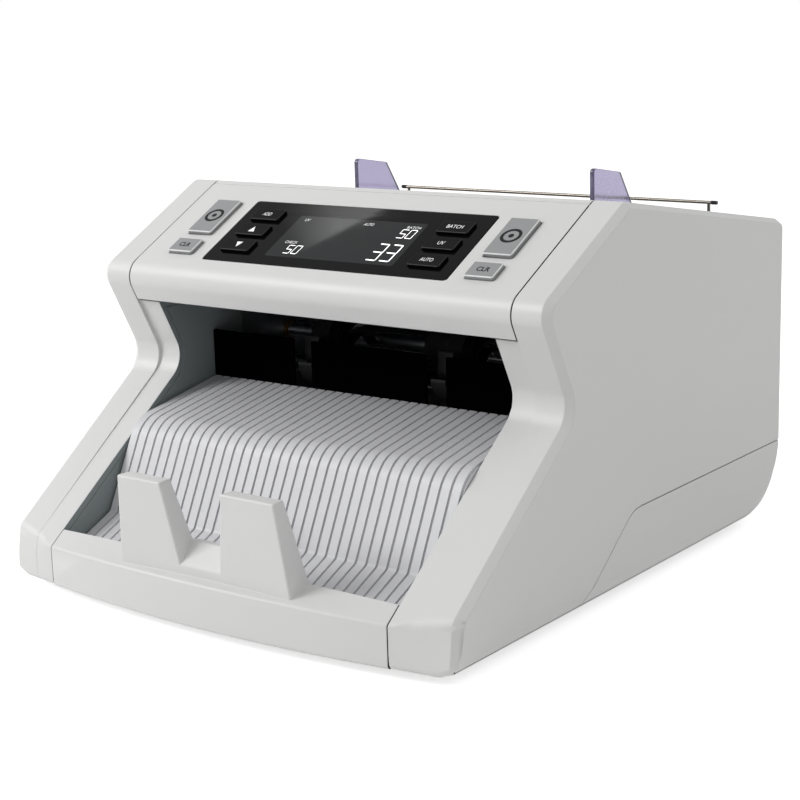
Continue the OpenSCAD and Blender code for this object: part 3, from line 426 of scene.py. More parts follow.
def add_node(tree, kind, inputs=None, **settings):
    """Adds one node, sets it up, and links or fills its inputs."""
    node = tree.nodes.new(kind)
    for name, value in settings.items():
        setattr(node, name, value)
    for key, value in (inputs or {}).items():
        if isinstance(value, bpy.types.NodeSocket):
            tree.links.new(value, node.inputs[key])
        else:
            node.inputs[key].default_value = value
    return node


def new_material(name, **constants):
    """A material with one shader, its constant values set on the shader's own sockets."""
    made = bpy.data.materials.new(name)
    made.use_nodes = True
    tree = made.node_tree
    shader = tree.nodes["Principled BSDF"]
    for socket, value in constants.items():
        shader.inputs[socket.replace("_", " ")].default_value = value
    place = add_node(tree, "ShaderNodeTexCoord").outputs["Object"]
    return made, tree, shader, place


def tone(tree, shader, place, colour, spread, size):
    """A slight cloudy change of colour, its patches about size across."""
    cloud = add_node(tree, "ShaderNodeTexNoise", {
        "Vector": place, "Scale": 1 / size, "Detail": 3.0})
    base = linear(colour)
    dark = [c * (1 - spread) for c in base[:3]] + [1.0]
    light = [min(1.0, c * (1 + spread)) for c in base[:3]] + [1.0]
    ramp = add_node(tree, "ShaderNodeValToRGB", {"Fac": cloud.outputs["Fac"]})
    ramp.color_ramp.elements[0].position = 0.3
    ramp.color_ramp.elements[0].color = dark
    ramp.color_ramp.elements[1].position = 0.7
    ramp.color_ramp.elements[1].color = light
    tree.links.new(ramp.outputs["Color"], shader.inputs["Base Color"])
    return cloud


def grain(tree, shader, place, size, depth, strength):
    """A fine all-over grain, as a mould leaves it."""
    noise = add_node(tree, "ShaderNodeTexNoise", {
        "Vector": place, "Scale": 1 / size, "Detail": 2.0})
    bump = add_node(tree, "ShaderNodeBump", {
        "Height": noise.outputs["Fac"], "Distance": depth, "Strength": strength})
    tree.links.new(bump.outputs["Normal"], shader.inputs["Normal"])
    return noise


def roughness_between(tree, shader, source, low, high):
    """Roughness that follows a pattern between two values."""
    span = add_node(tree, "ShaderNodeMapRange", {
        "Value": source, "To Min": low, "To Max": high, "From Min": 0.3, "From Max": 0.7})
    tree.links.new(span.outputs["Result"], shader.inputs["Roughness"])


def moulded_abs(name, colour, rough=0.45, grain_size=1.1 * MM, gloss=0.5):
    """ABS from a spark-eroded mould: dense fine grain, soft even gloss.
    The real grain is about 0.1 mm; it is drawn near 1 mm so that it shows at all."""
    made, tree, shader, place = new_material(
        name, IOR=1.52, Roughness=rough, Specular_IOR_Level=gloss)
    cloud = tone(tree, shader, place, colour, 0.012, 55 * MM)
    grain(tree, shader, place, grain_size, 0.02 * MM, 0.25)
    roughness_between(tree, shader, cloud.outputs["Fac"], rough - 0.04, rough + 0.04)
    return made


def acrylic(name, colour, gloss):
    """Black-backed acrylic: deep and clear as a mirror, with a few faint wipe marks."""
    made, tree, shader, place = new_material(name, IOR=1.49, Specular_IOR_Level=gloss)
    shader.inputs["Base Color"].default_value = linear(colour)
    marks = add_node(tree, "ShaderNodeTexNoise", {
        "Vector": place, "Scale": 1 / (18 * MM), "Detail": 4.0})
    roughness_between(tree, shader, marks.outputs["Fac"], 0.02, 0.05)
    return made


def rubber(name, colour, size):
    """Ground rubber: matt, with a fine torn grain."""
    made, tree, shader, place = new_material(name, IOR=1.52, Roughness=0.8)
    tone(tree, shader, place, colour, 0.08, 6 * MM)
    grain(tree, shader, place, size, 0.08 * MM, 0.5)
    return made


def rolled_steel(name, colour, rough):
    """Zinc-plated sheet: metallic, with faint cloudy spangle and fine rolling streaks."""
    made, tree, shader, place = new_material(name, Metallic=1.0)
    cloud = tone(tree, shader, place, colour, 0.06, 9 * MM)
    roughness_between(tree, shader, cloud.outputs["Fac"], rough - 0.06, rough + 0.08)
    stretched = add_node(tree, "ShaderNodeMapping", {"Vector": place, "Scale": (1.0, 1.0, 0.04)})
    grain(tree, shader, stretched.outputs["Vector"], 0.5 * MM, 0.02 * MM, 0.2)
    return made


def smoke_acrylic(name, colour):
    """Tinted clear acrylic: light passes through and picks up the smoke tint."""
    made, tree, shader, place = new_material(
        name, IOR=1.49, Roughness=0.08, Transmission_Weight=0.85)
    tone(tree, shader, place, colour, 0.03, 30 * MM)
    return made


def solder_mask(name):
    """Green solder mask over copper tracks: glossy, with a grid of slightly lighter lines."""
    made, tree, shader, place = new_material(name, IOR=1.5, Roughness=0.35)
    tracks = add_node(tree, "ShaderNodeTexBrick", {
        "Vector": place, "Scale": 1 / (6 * MM), "Color1": linear("#1B5A38"),
        "Color2": linear("#22663F"), "Mortar": linear("#2F7D4F"), "Mortar Size": 0.03})
    tree.links.new(tracks.outputs["Color"], shader.inputs["Base Color"])
    return made


def lit_ink(name, colour, strength):
    """Printed or lit mark with its own emission: display light for lit segments, a painted glow on white print."""
    made, tree, shader, place = new_material(
        name, Roughness=0.5, Specular_IOR_Level=0.15, Emission_Strength=strength)
    tone(tree, shader, place, colour, 0.02, 4 * MM)
    shader.inputs["Emission Color"].default_value = linear(colour)
    return made


def finishes():
    """All materials of the counter, by short name. They are made once."""
    colours = bpy.context.scene.counter_colours
    if "Moulded ABS, light grey" not in bpy.data.materials:
        moulded_abs("Moulded ABS, light grey", colours.cover)
        moulded_abs("Moulded ABS, plate grey", colours.plate, 0.42, 0.9 * MM)
        moulded_abs("Moulded ABS, dark grey", colours.dark, 0.5)
        moulded_abs("Moulded ABS, black", colours.black, 0.6, gloss=0.2)
        # Painted shade for the faces inside the seams and gaps between covers
        moulded_abs("Moulded ABS, parting line", "#343435", 0.6, gloss=0.1)
        # Black plastic made darker and matt: partly the parts' own black, partly painted shade of the deep pocket
        moulded_abs("Flocked black, light trap", "#030304", 0.9, gloss=0.0)
        moulded_abs("Painted button grey", colours.button, 0.34, 0.8 * MM)
        # Painted highlight: a near-white copy of the button grey for the buttons' rims
        moulded_abs("Painted button rim", "#E2E2E2", 0.3, 0.8 * MM)
        moulded_abs("Key black", "#060607", 0.42, 0.8 * MM, 0.04)
        # Painted highlight: a lighter copy of the key black for the keys' front and right rims
        moulded_abs("Key black, worn edge", "#1A1A1B", 0.4, 0.8 * MM, 0.2)
        acrylic("Black acrylic", colours.lens, 0.04)
        acrylic("Display glass", "#2E2F30", 0.05)
        smoke_acrylic("Smoke acrylic", colours.guide)
        rolled_steel("Zinc-plated steel", "#B4B6BA", 0.36)
        rolled_steel("Nickel-plated wire", "#77726A", 0.28)
        rolled_steel("Sintered bronze", "#A9814E", 0.5)
        rubber("Roller rubber", "#3A3A3B", 0.7 * MM)
        rubber("Foot rubber", "#202021", 0.9 * MM)
        rubber("Belt rubber", "#141415", 0.5 * MM)
        solder_mask("Solder mask")
        moulded_abs("Natural nylon", "#E6E4DA", 0.4, 0.8 * MM)
        # Its glow is display light for the window's labels and a painted glow on the print of the keys and rocker
        lit_ink("White legend", "#E8E8E8", 0.4)
        lit_ink("Black legend", "#08080A", 0.0)
        lit_ink("Grey legend", "#1C1C1E", 0.0)
        lit_ink("Lit segment", "#FFFFFF", 1.0)
    return {
        "cover": "Moulded ABS, light grey", "plate": "Moulded ABS, plate grey",
        "dark_plastic": "Moulded ABS, dark grey", "black_plastic": "Moulded ABS, black",
        "pocket_shade": "Flocked black, light trap", "seam": "Moulded ABS, parting line",
        "rim": "Painted button rim",
        "button": "Painted button grey", "key": "Key black", "key_edge_highlight": "Key black, worn edge",
        "lens": "Black acrylic", "grey_ink": "Grey legend",
        "lcd": "Display glass", "guide": "Smoke acrylic", "steel": "Zinc-plated steel",
        "wire": "Nickel-plated wire", "bronze": "Sintered bronze", "roller": "Roller rubber",
        "foot": "Foot rubber", "belt": "Belt rubber", "board": "Solder mask",
        "gear": "Natural nylon", "white": "White legend", "ink": "Black legend",
        "lit": "Lit segment",
    }


def finish(name):
    """One material by its short name."""
    return bpy.data.materials[finishes()[name]]


def dress(node, width, slot_name, material=None, steps=3, name=None):
    """Rounded copy of a node, in the node's place, on its body and in its finish."""
    piece = moulded_copy(node, name or node + "_moulded", width, steps)
    return stand_in(piece, node, finish(material or slot_name))


class COUNTER_OT_frame_finishes(bpy.types.Operator):
    """Give every node of the frame the material of its slot"""

    bl_idname = "counter.frame_finishes"
    bl_label = "Finish the frame"

    def execute(self, context):
        for row in frame["record"]["subparts"]:
            node = NODES[row["node"]]
            made = finish(row["material_slot"])
            if not node.material_slots:
                node.data.materials.append(made)
            for holder in node.material_slots:
                holder.material = made
        return {"FINISHED"}


class COUNTER_OT_covers(bpy.types.Operator):
    """Round the moulded edges of the case covers and paint the shade in their seams"""

    bl_idname = "counter.covers"
    bl_label = "Case covers"

    def execute(self, context):
        sizes = context.scene.counter_sizes
        made = {}
        for node in ("left_side_cover", "right_side_cover", "control_panel_cover",
                     "top_cover", "rear_cover", "base_pan", "front_tray"):
            made[node] = dress(node, sizes.cover_edge, "cover", steps=sizes.bevel_steps)
        self.painted_seam_shade(made)
        return {"FINISHED"}

    def painted_seam_shade(self, made):
        """Painted shade: dark faces inside the seams, under the panel cover's lower edge and on the
        column tops beneath it, where a narrow gap lies in shade. The side covers take the pocket walls' grey where
        they face the pocket."""
        panel_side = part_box("control_panel_cover")[1].x / MM
        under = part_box("control_panel_cover")[0].z / MM
        tray_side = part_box("front_tray")[1].x / MM
        column_top = under - SEAM
        near, rounding = 0.05, 0.3

        def at_side(middle, normal, edge):
            return abs(normal.x) > UPRIGHT_FACE and abs(middle.x) > edge - near

        for node in ("control_panel_cover", "top_cover", "rear_cover"):
            second_finish(made[node], finish("seam"), lambda m, n: (
                at_side(m, n, panel_side) or n.z < -UPRIGHT_FACE and m.z < under + near))
        second_finish(made["front_tray"], finish("seam"), lambda m, n: at_side(m, n, tray_side))
        for node, side in (("left_side_cover", -1), ("right_side_cover", 1)):
            def across_gap(middle, normal, edge):
                return (side * normal.x < -UPRIGHT_FACE
                        and abs(abs(middle.x) - edge - SEAM) < 2 * near)

            second_finish(made[node], finish("seam"), lambda m, n: (
                across_gap(m, n, panel_side) and m.z > column_top - rounding
                or n.z > 0.5 and abs(m.z - column_top + 0.2) < rounding))
            second_finish(made[node], finish("dark_plastic"),
                          lambda m, n: across_gap(m, n, tray_side))


class COUNTER_OT_pocket(bpy.types.Operator):
    """Shade the ribbed plate smoothly and round the walls and hopper mouldings"""

    bl_idname = "counter.pocket"
    bl_label = "Pocket and hopper"

    def execute(self, context):
        sizes = context.scene.counter_sizes
        dress("pocket_plate", 0, "plate")
        dress("hopper_body", sizes.cover_edge, "cover", steps=sizes.bevel_steps)
        for node in ("left_pocket_wall", "right_pocket_wall", "hopper_front_wall"):
            dress(node, sizes.small_edge, "dark_plastic", steps=2)
        # The pocket's screen and ceiling are black plastic, given the darker matt black as painted shade
        for node in ("stacker_screen", "pocket_ceiling"):
            dress(node, sizes.small_edge, "black_plastic", "pocket_shade", steps=2)
        return {"FINISHED"}


class COUNTER_OT_lens(bpy.types.Operator):
    """Polish the lens and set the display window in it"""

    bl_idname = "counter.lens"
    bl_label = "Lens and window"

    window_size = (71.2, 30.6)
    window_at = (0.6, 39.2)  # across and down from the crest

    def execute(self, context):
        sizes = context.scene.counter_sizes
        dress("display_lens", sizes.small_edge, "lens", steps=2)
        window = slab("display_window", self.window_size, 0.04, 1.2)
        set_down(window, PANEL @ Matrix.Translation(on_panel(*self.window_at)))
        dyed(window, finish("lcd"))
        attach(window, "case")
        return {"FINISHED"}


class COUNTER_OT_readout(bpy.types.Operator):
    """Light the digits and their labels in the window"""

    bl_idname = "counter.readout"
    bl_label = "Readout"

    lit_bars = {"0": "abcdef", "3": "abcdg", "5": "acdfg"}
    # Figures, left edge of each, height of the row down from the crest, size and width of a bar
    numbers = (
        ("33", (20.2, 27.4), 45.9, (5.7, 12.2), 0.72),
        ("50", (25.6, 30.1), 32.0, (3.6, 6.4), 0.4),
        ("50", (-26.2, -21.8), 48.8, (3.5, 6.2), 0.4))
    # Words, their middle across and down from the crest, and their size
    words = (
        ("UV", (-29.3, 26.8), (2.7, 1.9)), ("AUTO", (5.8, 27.0), (5.4, 1.8)),
        ("BATCH", (30.5, 27.2), (7.2, 1.7)), ("CHECK", (-26.7, 43.7), (7.0, 1.8)))

    def execute(self, context):
        figures = []
        for text, lefts, down, size, bar in self.numbers:
            for figure, left in zip(text, lefts):
                place = self.in_window(left + size[0] / 2, down)
                figures += [set_down(one, place) for one in self.figure(figure, size, bar)]
        self.put_in_case(joined("display_numbers", figures), "lit")
        words = [set_down(lettering(text, size, -0.004), self.in_window(*spot))
                 for text, spot, size in self.words]
        self.put_in_case(joined("display_words", words), "white")
        return {"FINISHED"}

    def in_window(self, x, down):
        """A place just over the window."""
        return PANEL @ Matrix.Translation(on_panel(x, down) + Vector((0, 0, 0.05 * MM)))

    def put_in_case(self, piece, material):
        dyed(piece, finish(material))
        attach(piece, "case")

    def figure(self, figure, size, bar):
        """The lit bars of one seven-segment figure about the origin."""
        wide, high = size[0] - bar, size[1] - bar
        spots = {
            "a": (0, high / 2, 0), "g": (0, 0, 0), "d": (0, -high / 2, 0),
            "f": (-wide / 2, high / 4, 1), "b": (wide / 2, high / 4, 1),
            "e": (-wide / 2, -high / 4, 1), "c": (wide / 2, -high / 4, 1)}
        slant = Matrix(((1, 0.07, 0, 0), (0, 1, 0, 0), (0, 0, 1, 0), (0, 0, 0, 1)))
        made = []
        for name in self.lit_bars[figure]:
            x, y, upright = spots[name]
            length = (high / 2 if upright else wide) - 0.15 * bar
            one = self.bar(length, bar * (0.75 if upright else 1.0))
            turn = Matrix() if upright else Matrix.Rotation(math.pi / 2, 4, "Z")
            set_down(one, slant @ Matrix.Translation((x * MM, y * MM, 0)) @ turn)
            made.append(one)
        return made

    def bar(self, length, width):
        """One upright bar with pointed ends."""
        radius = width / math.sqrt(3)
        deselect()
        bpy.ops.mesh.primitive_circle_add(vertices=6, radius=radius * MM, fill_type="NGON")
        bar = bpy.context.object
        for vertex in bar.data.vertices:
            vertex.co.y += math.copysign((length / 2 - radius) * MM, vertex.co.y)
        return thickened(bar)


class COUNTER_OT_keys(bpy.types.Operator):
    """Round the keys and buttons and print their marks"""

    bl_idname = "counter.keys"
    bl_label = "Keys and buttons"

    marks = {
        "key_add": ("ADD", (5.0, 2.3)), "key_batch": ("BATCH", (8.3, 2.3)),
        "key_uv": ("UV", (3.4, 2.3)), "key_auto": ("AUTO", (6.5, 2.3)),
    }
    ring, dot = (4.85, 3.4), 1.3  # radii in mm
    clear_size = (6.4, 2.9)

    def execute(self, context):
        sizes = context.scene.counter_sizes
        for node, (word, size) in self.marks.items():
            self.printed(node, "key", sizes.key_edge, lettering(word, size, -0.006), "white")
        self.printed("key_up", "key", sizes.key_edge, arrow(1), "white")
        self.printed("key_down", "key", sizes.key_edge, arrow(-1), "white")
        for side in ("left", "right"):
            ring = joined("ring", [disc(*self.ring), disc(self.dot)])
            self.printed(side + "_start_button", "button", sizes.button_edge, ring, "ink")
            word = lettering("CLR", self.clear_size, 0.022)
            self.printed(side + "_clear_button", "button", sizes.button_edge, word, "grey_ink")
        return {"FINISHED"}

    def printed(self, node, slot_name, edge, mark, ink):
        """A rounded cap with its mark on the middle of its top. The rounded rim of a button gets a
        near-white painted highlight all round, and the front and right rims of a key a grey painted highlight."""
        cap = dress(node, edge, slot_name, steps=4, name=node + "_cap")
        out, top = PANEL.inverted().to_3x3(), cap_top(node).z
        deepest = top / MM - 1.1 * edge / MM

        def rim(middle, normal):
            turned = out @ normal
            height = (PANEL.inverted() @ (middle * MM)).z / MM
            if slot_name == "button":
                return height > deepest and 0.1 < turned.z < 0.99
            return height > deepest and 0.3 < turned.z < 0.9 and (turned.x > 0.2 or turned.y < -0.2)
        # Painted highlight on the rims: near-white all round a button, grey on a key's front and right rims
        second_finish(cap, finish("rim" if slot_name == "button" else "key_edge_highlight"), rim)
        set_down(dyed(mark, finish(ink)), PANEL @ Matrix.Translation(cap_top(node)))
        joined(node + "_cap", [cap, mark])


class COUNTER_OT_guides(bpy.types.Operator):
    """Clear the note guides and tip the rest wire"""

    bl_idname = "counter.guides"
    bl_label = "Guides and rest"

    sleeve, sleeve_wall, past_end = 3.4, 0.15, 0.05  # mm

    def execute(self, context):
        sizes = context.scene.counter_sizes
        for node in ("left_note_guide", "right_note_guide"):
            dress(node, sizes.guide_edge, "guide", steps=2)
        low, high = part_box("note_rest")
        radius = (high.y - low.y) / 2 / MM
        for side, end in (("left", low.x), ("right", high.x)):
            tip = self.tip(radius + self.sleeve_wall, self.sleeve)
            inwards = Matrix.Rotation(math.copysign(math.pi / 2, end), 4, "Y")
            place = Matrix.Translation((end, (low.y + high.y) / 2, high.z - radius * MM))
            back = Matrix.Translation((0, 0, (self.past_end - self.sleeve) * MM))
            set_down(tip, place @ inwards @ back)
            tip.name = side + "_wire_tip"
            dyed(tip, finish("belt"))
            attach(tip, "note_rest")
        return {"FINISHED"}

    def tip(self, radius, length):
        """A soft sleeve with a rounded end, upright from the origin, in mm."""
        deselect()
        bpy.ops.mesh.primitive_cylinder_add(
            vertices=32, radius=radius * MM, depth=length * MM, location=(0, 0, length / 2 * MM))
        tip = bpy.context.object
        bpy.ops.object.transform_apply(location=True)
        rounded = tip.modifiers.new("End", "BEVEL")
        rounded.width = 0.4 * MM
        rounded.segments = 3
        bpy.ops.object.modifier_apply(modifier=rounded.name)
        even_shading(tip)
        return tip


class COUNTER_OT_rollers(bpy.types.Operator):
    """Part the shafts into steel, rubber and nylon"""

    bl_idname = "counter.rollers"
    bl_label = "Shafts and rollers"

    bare_radius, retard_radius = 4.4, 3.4  # steel within these
    outer_side = 100.8  # pulleys lie further out than this

    def execute(self, context):
        spins = {"feed_shaft": "feed_spin", "pickup_shaft": "pickup_spin",
                 "transport_shaft": "transport_spin", "pinch_shaft": "pinch_spin"}
        edge = context.scene.counter_sizes.small_edge
        for node, joint in spins.items():
            piece = dress(node, edge, "roller", steps=2)
            axis = Vector(JOINTS[joint]["pos_m"]) / MM
            self.part(piece, axis.y, axis.z, self.bare_radius)
        low, high = (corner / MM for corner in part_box("retard_rollers"))
        piece = dress("retard_rollers", edge, "roller", steps=2)
        self.part(piece, (low.y + high.y) / 2, (low.z + high.z) / 2, self.retard_radius)
        for node in ("left_stacker_wheel", "right_stacker_wheel"):
            dress(node, edge, "black_plastic", steps=2)
        for node in ("main_motor_pulley", "stacker_motor_pulley", "stacker_shaft"):
            dress(node, edge, "steel", steps=2)
        dress("guide_pinion", edge, "gear", steps=2)
        return {"FINISHED"}

    def part(self, piece, y, z, shaft_radius):
        """Steel within the shaft's radius, nylon for the pulleys outside the side frames."""
        def bare(middle, normal):
            return math.hypot(middle.y - y, middle.z - z) < shaft_radius
        second_finish(piece, finish("steel"), bare)
        second_finish(piece, finish("gear"),
                      lambda m, n: abs(m.x) > self.outer_side and not bare(m, n))


class COUNTER_OT_works(bpy.types.Operator):
    """Finish the plates, motors and boards inside"""

    bl_idname = "counter.works"
    bl_label = "Works"

    def execute(self, context):
        edge = context.scene.counter_sizes.small_edge
        for node in ("left_frame", "right_frame", "path_plates", "guide_bridge", "tie_bars",
                     "main_motor", "stacker_motor"):
            dress(node, edge, "steel", steps=2)
        for node in ("main_board", "power_supply"):
            piece = dress(node, edge, "board", steps=2)
            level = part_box(node)[0].z / MM + BOARD
            second_finish(piece, finish("black_plastic"), lambda m, n: m.z > level)
        outward = PANEL.inverted()
        bottom = min((outward @ v.co).z for v in NODES["display_board"].data.vertices) / MM
        piece = dress("display_board", edge, "board", steps=2)
        second_finish(piece, finish("black_plastic"),
                      lambda m, n: (outward @ (m * MM)).z / MM > bottom + BOARD)
        return {"FINISHED"}


class COUNTER_OT_rear(bpy.types.Operator):
    """Fit the inlet pins, the rocker's marks and the socket's contacts"""

    bl_idname = "counter.rear"
    bl_label = "Rear fittings"

    inlet_half, inlet_floor = 14.0, 15.0  # mm, half its width, and its floor from the back
    blade_size, blade_length = (2.0, 6.2), 12.5
    blades = ((-7.0, -2.0), (0.0, 3.4), (7.0, -2.0))  # mm from the inlet's middle
    line_size, ring = (0.7, 3.2), (1.7, 1.2)  # marks on the rocker
    contact_count, contact_pitch, contact_size = 8, 1.0, (0.5, 9.0)
    tongue_back, tongue_up, tongue_slope = 6.0, 4.4, 20  # mm, mm, degrees

    def execute(self, context):
        sizes = context.scene.counter_sizes
        dress("power_inlet", sizes.small_edge, "black_plastic", steps=2)
        dress("display_socket", sizes.small_edge, "black_plastic", steps=2)
        self.pins()
        self.rocker()
        self.contacts()
        return {"FINISHED"}

    def pins(self):
        """Three flat blades in the inlet, the earth blade above the other two."""
        low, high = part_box("power_inlet")
        back = high.y - self.inlet_floor * MM
        middle_x = low.x + self.inlet_half * MM
        middle_z = (low.z + high.z) / 2
        blades = []
        for x, z in self.blades:
            blade = slab("blade", self.blade_size, self.blade_length, 0.5)
            rounded = blade.modifiers.new("Tip", "BEVEL")
            rounded.width = 0.5 * MM
            rounded.segments = 2
            only(blade)
            bpy.ops.object.modifier_apply(modifier=rounded.name)
            facing = Matrix.Rotation(-math.pi / 2, 4, "X")
            place = Matrix.Translation((middle_x + x * MM, back - 0.5 * MM, middle_z + z * MM))
            blades.append(set_down(blade, place @ facing))
        pins = dyed(joined("inlet_blades", blades), finish("steel"))
        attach(pins, "case")

    def rocker(self):
        """The rocker with a line on one end and a ring on the other."""
        cap = dress("power_rocker", 0.4 * MM, "black_plastic", steps=3, name="power_rocker_cap")
        pivot = JOINTS["power_rocker_tilt"]["pos_m"][2]
        faces = [f for f in NODES["power_rocker"].data.polygons if f.normal.y > UPRIGHT_FACE]
        marks = []
        for end, mark in ((1, lettering("I", self.line_size)), (-1, disc(*self.ring))):
            ours = [f for f in faces if end * (f.center.z - pivot) > 0]
            area = sum(f.area for f in ours)
            centre = sum((f.center * f.area for f in ours), Vector()) / area
            out = sum((f.normal * f.area for f in ours), Vector()).normalized()
            across = Vector((-1, 0, 0))
            place = Matrix((across, out.cross(across), out)).transposed().to_4x4()
            place.translation = centre
            marks.append(dyed(set_down(mark, place), finish("white")))
        joined("power_rocker_cap", [cap] + marks)

    def contacts(self):
        """Sprung wires side by side on a tongue inside the socket."""
        low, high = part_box("display_socket")
        wires = []
        sloped = Matrix.Rotation(math.radians(self.tongue_slope), 4, "X")
        for i in range(self.contact_count):
            wire = slab("contact", self.contact_size, 0.4, 0.1)
            aside = (i - (self.contact_count - 1) / 2) * self.contact_pitch * MM
            place = Matrix.Translation((
                (low.x + high.x) / 2 + aside, high.y - self.tongue_back * MM,
                low.z + self.tongue_up * MM))
            wires.append(set_down(wire, place @ sloped))
        comb = dyed(joined("socket_contacts", wires), finish("bronze"))
        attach(comb, "case")


class COUNTER_OT_feet(bpy.types.Operator):
    """Round the feet and the screw heads"""

    bl_idname = "counter.feet"
    bl_label = "Feet and screws"

    def execute(self, context):
        sizes = context.scene.counter_sizes
        for node in ("front_feet", "rear_feet"):
            dress(node, sizes.key_edge, "foot", steps=3)
        dress("case_screws", sizes.small_edge, "steel", steps=2)
        return {"FINISHED"}


class COUNTER_OT_studio(bpy.types.Operator):
    """Pale floor, soft lights and the camera"""

    bl_idname = "counter.studio"
    bl_label = "Studio"

    # Name, place in m, watts
    lamps = (
        ("Key", (-1.31, -1.31, 1.28), 24.0), ("Left", (-2.01, -0.22, 0.97), 5.0),
        ("Top", (0, -0.11, 2.28), 2.0), ("Back", (1.31, 0.88, 1.62), 7.0))
    lamp_size = 0.9
    aim_height = 0.08
    floor_size, floor_glow, world_level = 12, 0.62, 0.4
    # The glare card: width, ends of its length, place, and its two directions
    card_width, card_ends = 0.09, (-0.15, 0.155)
    card_place = (-1.2027, 0.6594, 1.5923)
    card_across, card_along = (-0.4053, 0.6495, -0.6434), (-0.6688, -0.6905, -0.2757)
    # The photograph's camera: degrees, mm, and pixels of its 800
    yaw, pitch, roll = 37.403, 13.007, -1.702
    eye, focal, sensor = (489.86, -642.20, 257.33), 80.69, 36
    shift, picture = (0.5, 3.05), 800

    def execute(self, context):
        self.floor()
        self.world(context.scene)
        for name, place, watts in self.lamps:
            self.lamp(name, place, self.lamp_size, watts)
        self.glare()
        self.camera(context.scene)
        return {"FINISHED"}

    def floor(self):
        """A wide white sheet that keeps the counter's shadow."""
        deselect()
        bpy.ops.mesh.primitive_plane_add(size=self.floor_size, location=(0, 0, 0))
        floor = bpy.context.object
        floor.name = "Floor"
        made, tree, shader, _ = new_material("Floor paper", Roughness=0.9)
        shader.inputs["Base Color"].default_value = linear("#F4F4F4")
        shader.inputs["Emission Color"].default_value = linear("#FFFFFF")
        glow = add_node(tree, "ShaderNodeMath", {
            0: self.seen(tree), 1: self.floor_glow}, operation="MULTIPLY")
        tree.links.new(glow.outputs[0], shader.inputs["Emission Strength"])
        floor.data.materials.append(made)

    def world(self, scene):
        """Level light all round, seen as white."""
        world = bpy.data.worlds.new("Studio")
        scene.world = world
        world.use_nodes = True
        tree = world.node_tree
        back = tree.nodes["Background"]
        back.inputs["Color"].default_value = linear("#FFFFFF")
        level = add_node(tree, "ShaderNodeMapRange", {
            "Value": self.seen(tree), "To Min": self.world_level, "To Max": 1.0})
        tree.links.new(level.outputs["Result"], back.inputs["Strength"])

    def seen(self, tree):
        """1 where the camera looks, also by way of a mirror or through something clear."""
        path = add_node(tree, "ShaderNodeLightPath")
        seen = path.outputs["Is Camera Ray"]
        for way in ("Is Glossy Ray", "Is Transmission Ray"):
            seen = add_node(tree, "ShaderNodeMath", {
                0: seen, 1: path.outputs[way]}, operation="MAXIMUM").outputs[0]
        return seen

    def lamp(self, name, place, size, watts):
        """A square soft box that looks at the middle of the counter."""
        light = bpy.data.lights.new(name, "AREA")
        light.shape = "SQUARE"
        light.size = size
        light.energy = watts
        lamp = bpy.data.objects.new(name, light)
        bpy.context.scene.collection.objects.link(lamp)
        lamp.location = place
        aim = Vector((0, 0, self.aim_height)) - Vector(place)
        lamp.rotation_euler = aim.to_track_quat("-Z", "Y").to_euler()

    def glare(self):
        """A narrow card that only mirrors show: a slanting glare on the lens."""
        deselect()
        bpy.ops.mesh.primitive_plane_add(size=1, location=(0, 0, 0))
        card = bpy.context.object
        card.name = "Glare card"
        for corner in card.data.vertices:
            corner.co.x = self.card_width if corner.co.x > 0 else 0.0
            corner.co.y = self.card_ends[corner.co.y > 0]
        across, along = Vector(self.card_across), Vector(self.card_along)
        card.matrix_world = Matrix.Translation(self.card_place) @ Matrix((
            across, along, across.cross(along))).transposed().to_4x4()
        made, tree, shader, place = new_material("Glare card glow", Roughness=1.0)
        spot = add_node(tree, "ShaderNodeSeparateXYZ", {"Vector": place})
        aside, down = (
            add_node(tree, "ShaderNodeMapRange", {
                "Value": spot.outputs[axis], "From Min": near, "From Max": far,
                "To Min": 1.0, "To Max": 0.0})
            for axis, near, far in (("X", 0.0, 0.085), ("Y", 0.075, 0.15)))
        both = add_node(tree, "ShaderNodeMath", {
            0: aside.outputs["Result"], 1: down.outputs["Result"]}, operation="MULTIPLY")
        glow = add_node(tree, "ShaderNodeMath", {
            0: both.outputs[0], 1: 6.0, 2: 1.0}, operation="MULTIPLY_ADD")
        shader.inputs["Base Color"].default_value = linear("#000000")
        shader.inputs["Emission Color"].default_value = linear("#FFFFFF")
        tree.links.new(glow.outputs[0], shader.inputs["Emission Strength"])
        card.data.materials.append(made)
        for kind in ("camera", "diffuse", "transmission", "volume_scatter", "shadow"):
            setattr(card, "visible_" + kind, False)

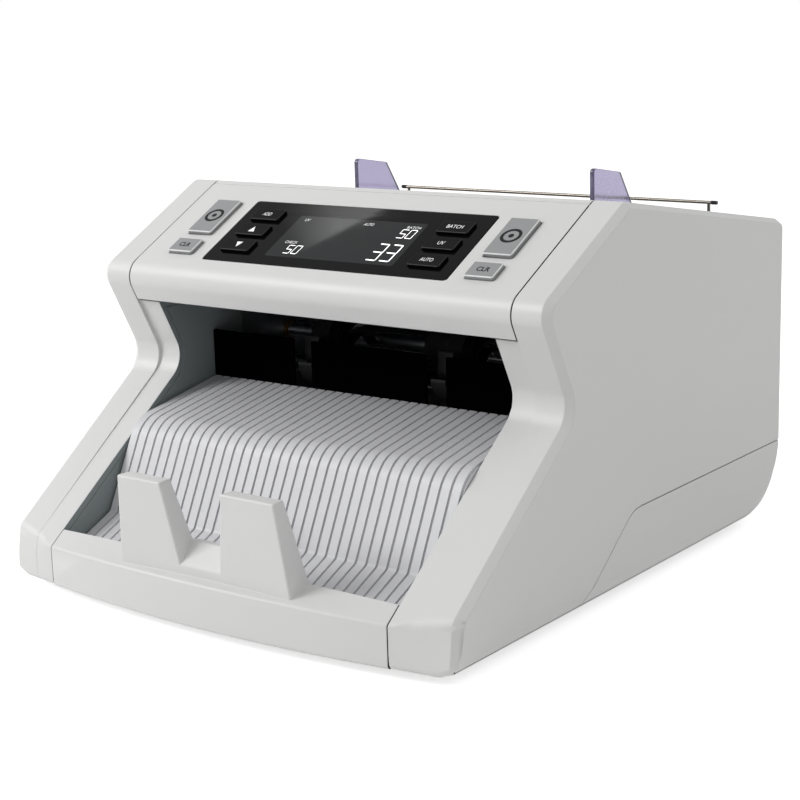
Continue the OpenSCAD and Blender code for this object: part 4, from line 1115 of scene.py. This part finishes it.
    def camera(self, scene):
        """The photograph's viewpoint, solved from the case's straight edges."""
        yaw, pitch, roll = (math.radians(turn) for turn in (self.yaw, self.pitch, self.roll))
        ahead = Vector((
            -math.sin(yaw) * math.cos(pitch), math.cos(yaw) * math.cos(pitch), -math.sin(pitch)))
        level = Vector((math.cos(yaw), math.sin(yaw), 0))
        above = level.cross(ahead)
        right = math.cos(roll) * level + math.sin(roll) * above
        up = -math.sin(roll) * level + math.cos(roll) * above
        place = Vector(self.eye) * MM
        data = bpy.data.cameras.new("Camera")
        data.sensor_width = self.sensor
        data.lens = self.focal
        data.shift_x = self.shift[0] / self.picture
        data.shift_y = self.shift[1] / self.picture
        data.clip_end = 20
        camera = bpy.data.objects.new("Camera", data)
        scene.collection.objects.link(camera)
        camera.matrix_world = Matrix((
            (right.x, up.x, -ahead.x, place.x),
            (right.y, up.y, -ahead.y, place.y),
            (right.z, up.z, -ahead.z, place.z),
            (0, 0, 0, 1)))
        scene.camera = camera


class COUNTER_PT_sidebar(bpy.types.Panel):
    """Sidebar panel that lists the counter's steps"""

    bl_label = "Banknote Counter"
    bl_space_type = "VIEW_3D"
    bl_region_type = "UI"
    bl_category = "Counter"

    def draw(self, context):
        for name in CounterSizes.__annotations__:
            self.layout.prop(context.scene.counter_sizes, name)
        for name in CounterColours.__annotations__:
            self.layout.prop(context.scene.counter_colours, name)
        for step in STEPS:
            self.layout.operator(step.bl_idname)


STEPS = (
    COUNTER_OT_frame_finishes, COUNTER_OT_covers, COUNTER_OT_pocket, COUNTER_OT_lens,
    COUNTER_OT_readout, COUNTER_OT_keys, COUNTER_OT_guides, COUNTER_OT_rollers,
    COUNTER_OT_works, COUNTER_OT_rear, COUNTER_OT_feet, COUNTER_OT_studio)
CLASSES = (CounterSizes, CounterColours) + STEPS + (COUNTER_PT_sidebar,)


def register():
    for kind in CLASSES:
        bpy.utils.register_class(kind)
    bpy.types.Scene.counter_sizes = PointerProperty(type=CounterSizes)
    bpy.types.Scene.counter_colours = PointerProperty(type=CounterColours)


def unregister():
    del bpy.types.Scene.counter_colours
    del bpy.types.Scene.counter_sizes
    for kind in reversed(CLASSES):
        bpy.utils.unregister_class(kind)


def main():
    register()
    bpy.context.scene.view_settings.view_transform = "Standard"
    for step in STEPS:
        group, name = step.bl_idname.split(".")
        getattr(getattr(bpy.ops, group), name)()


if __name__ == "__main__":
    main()
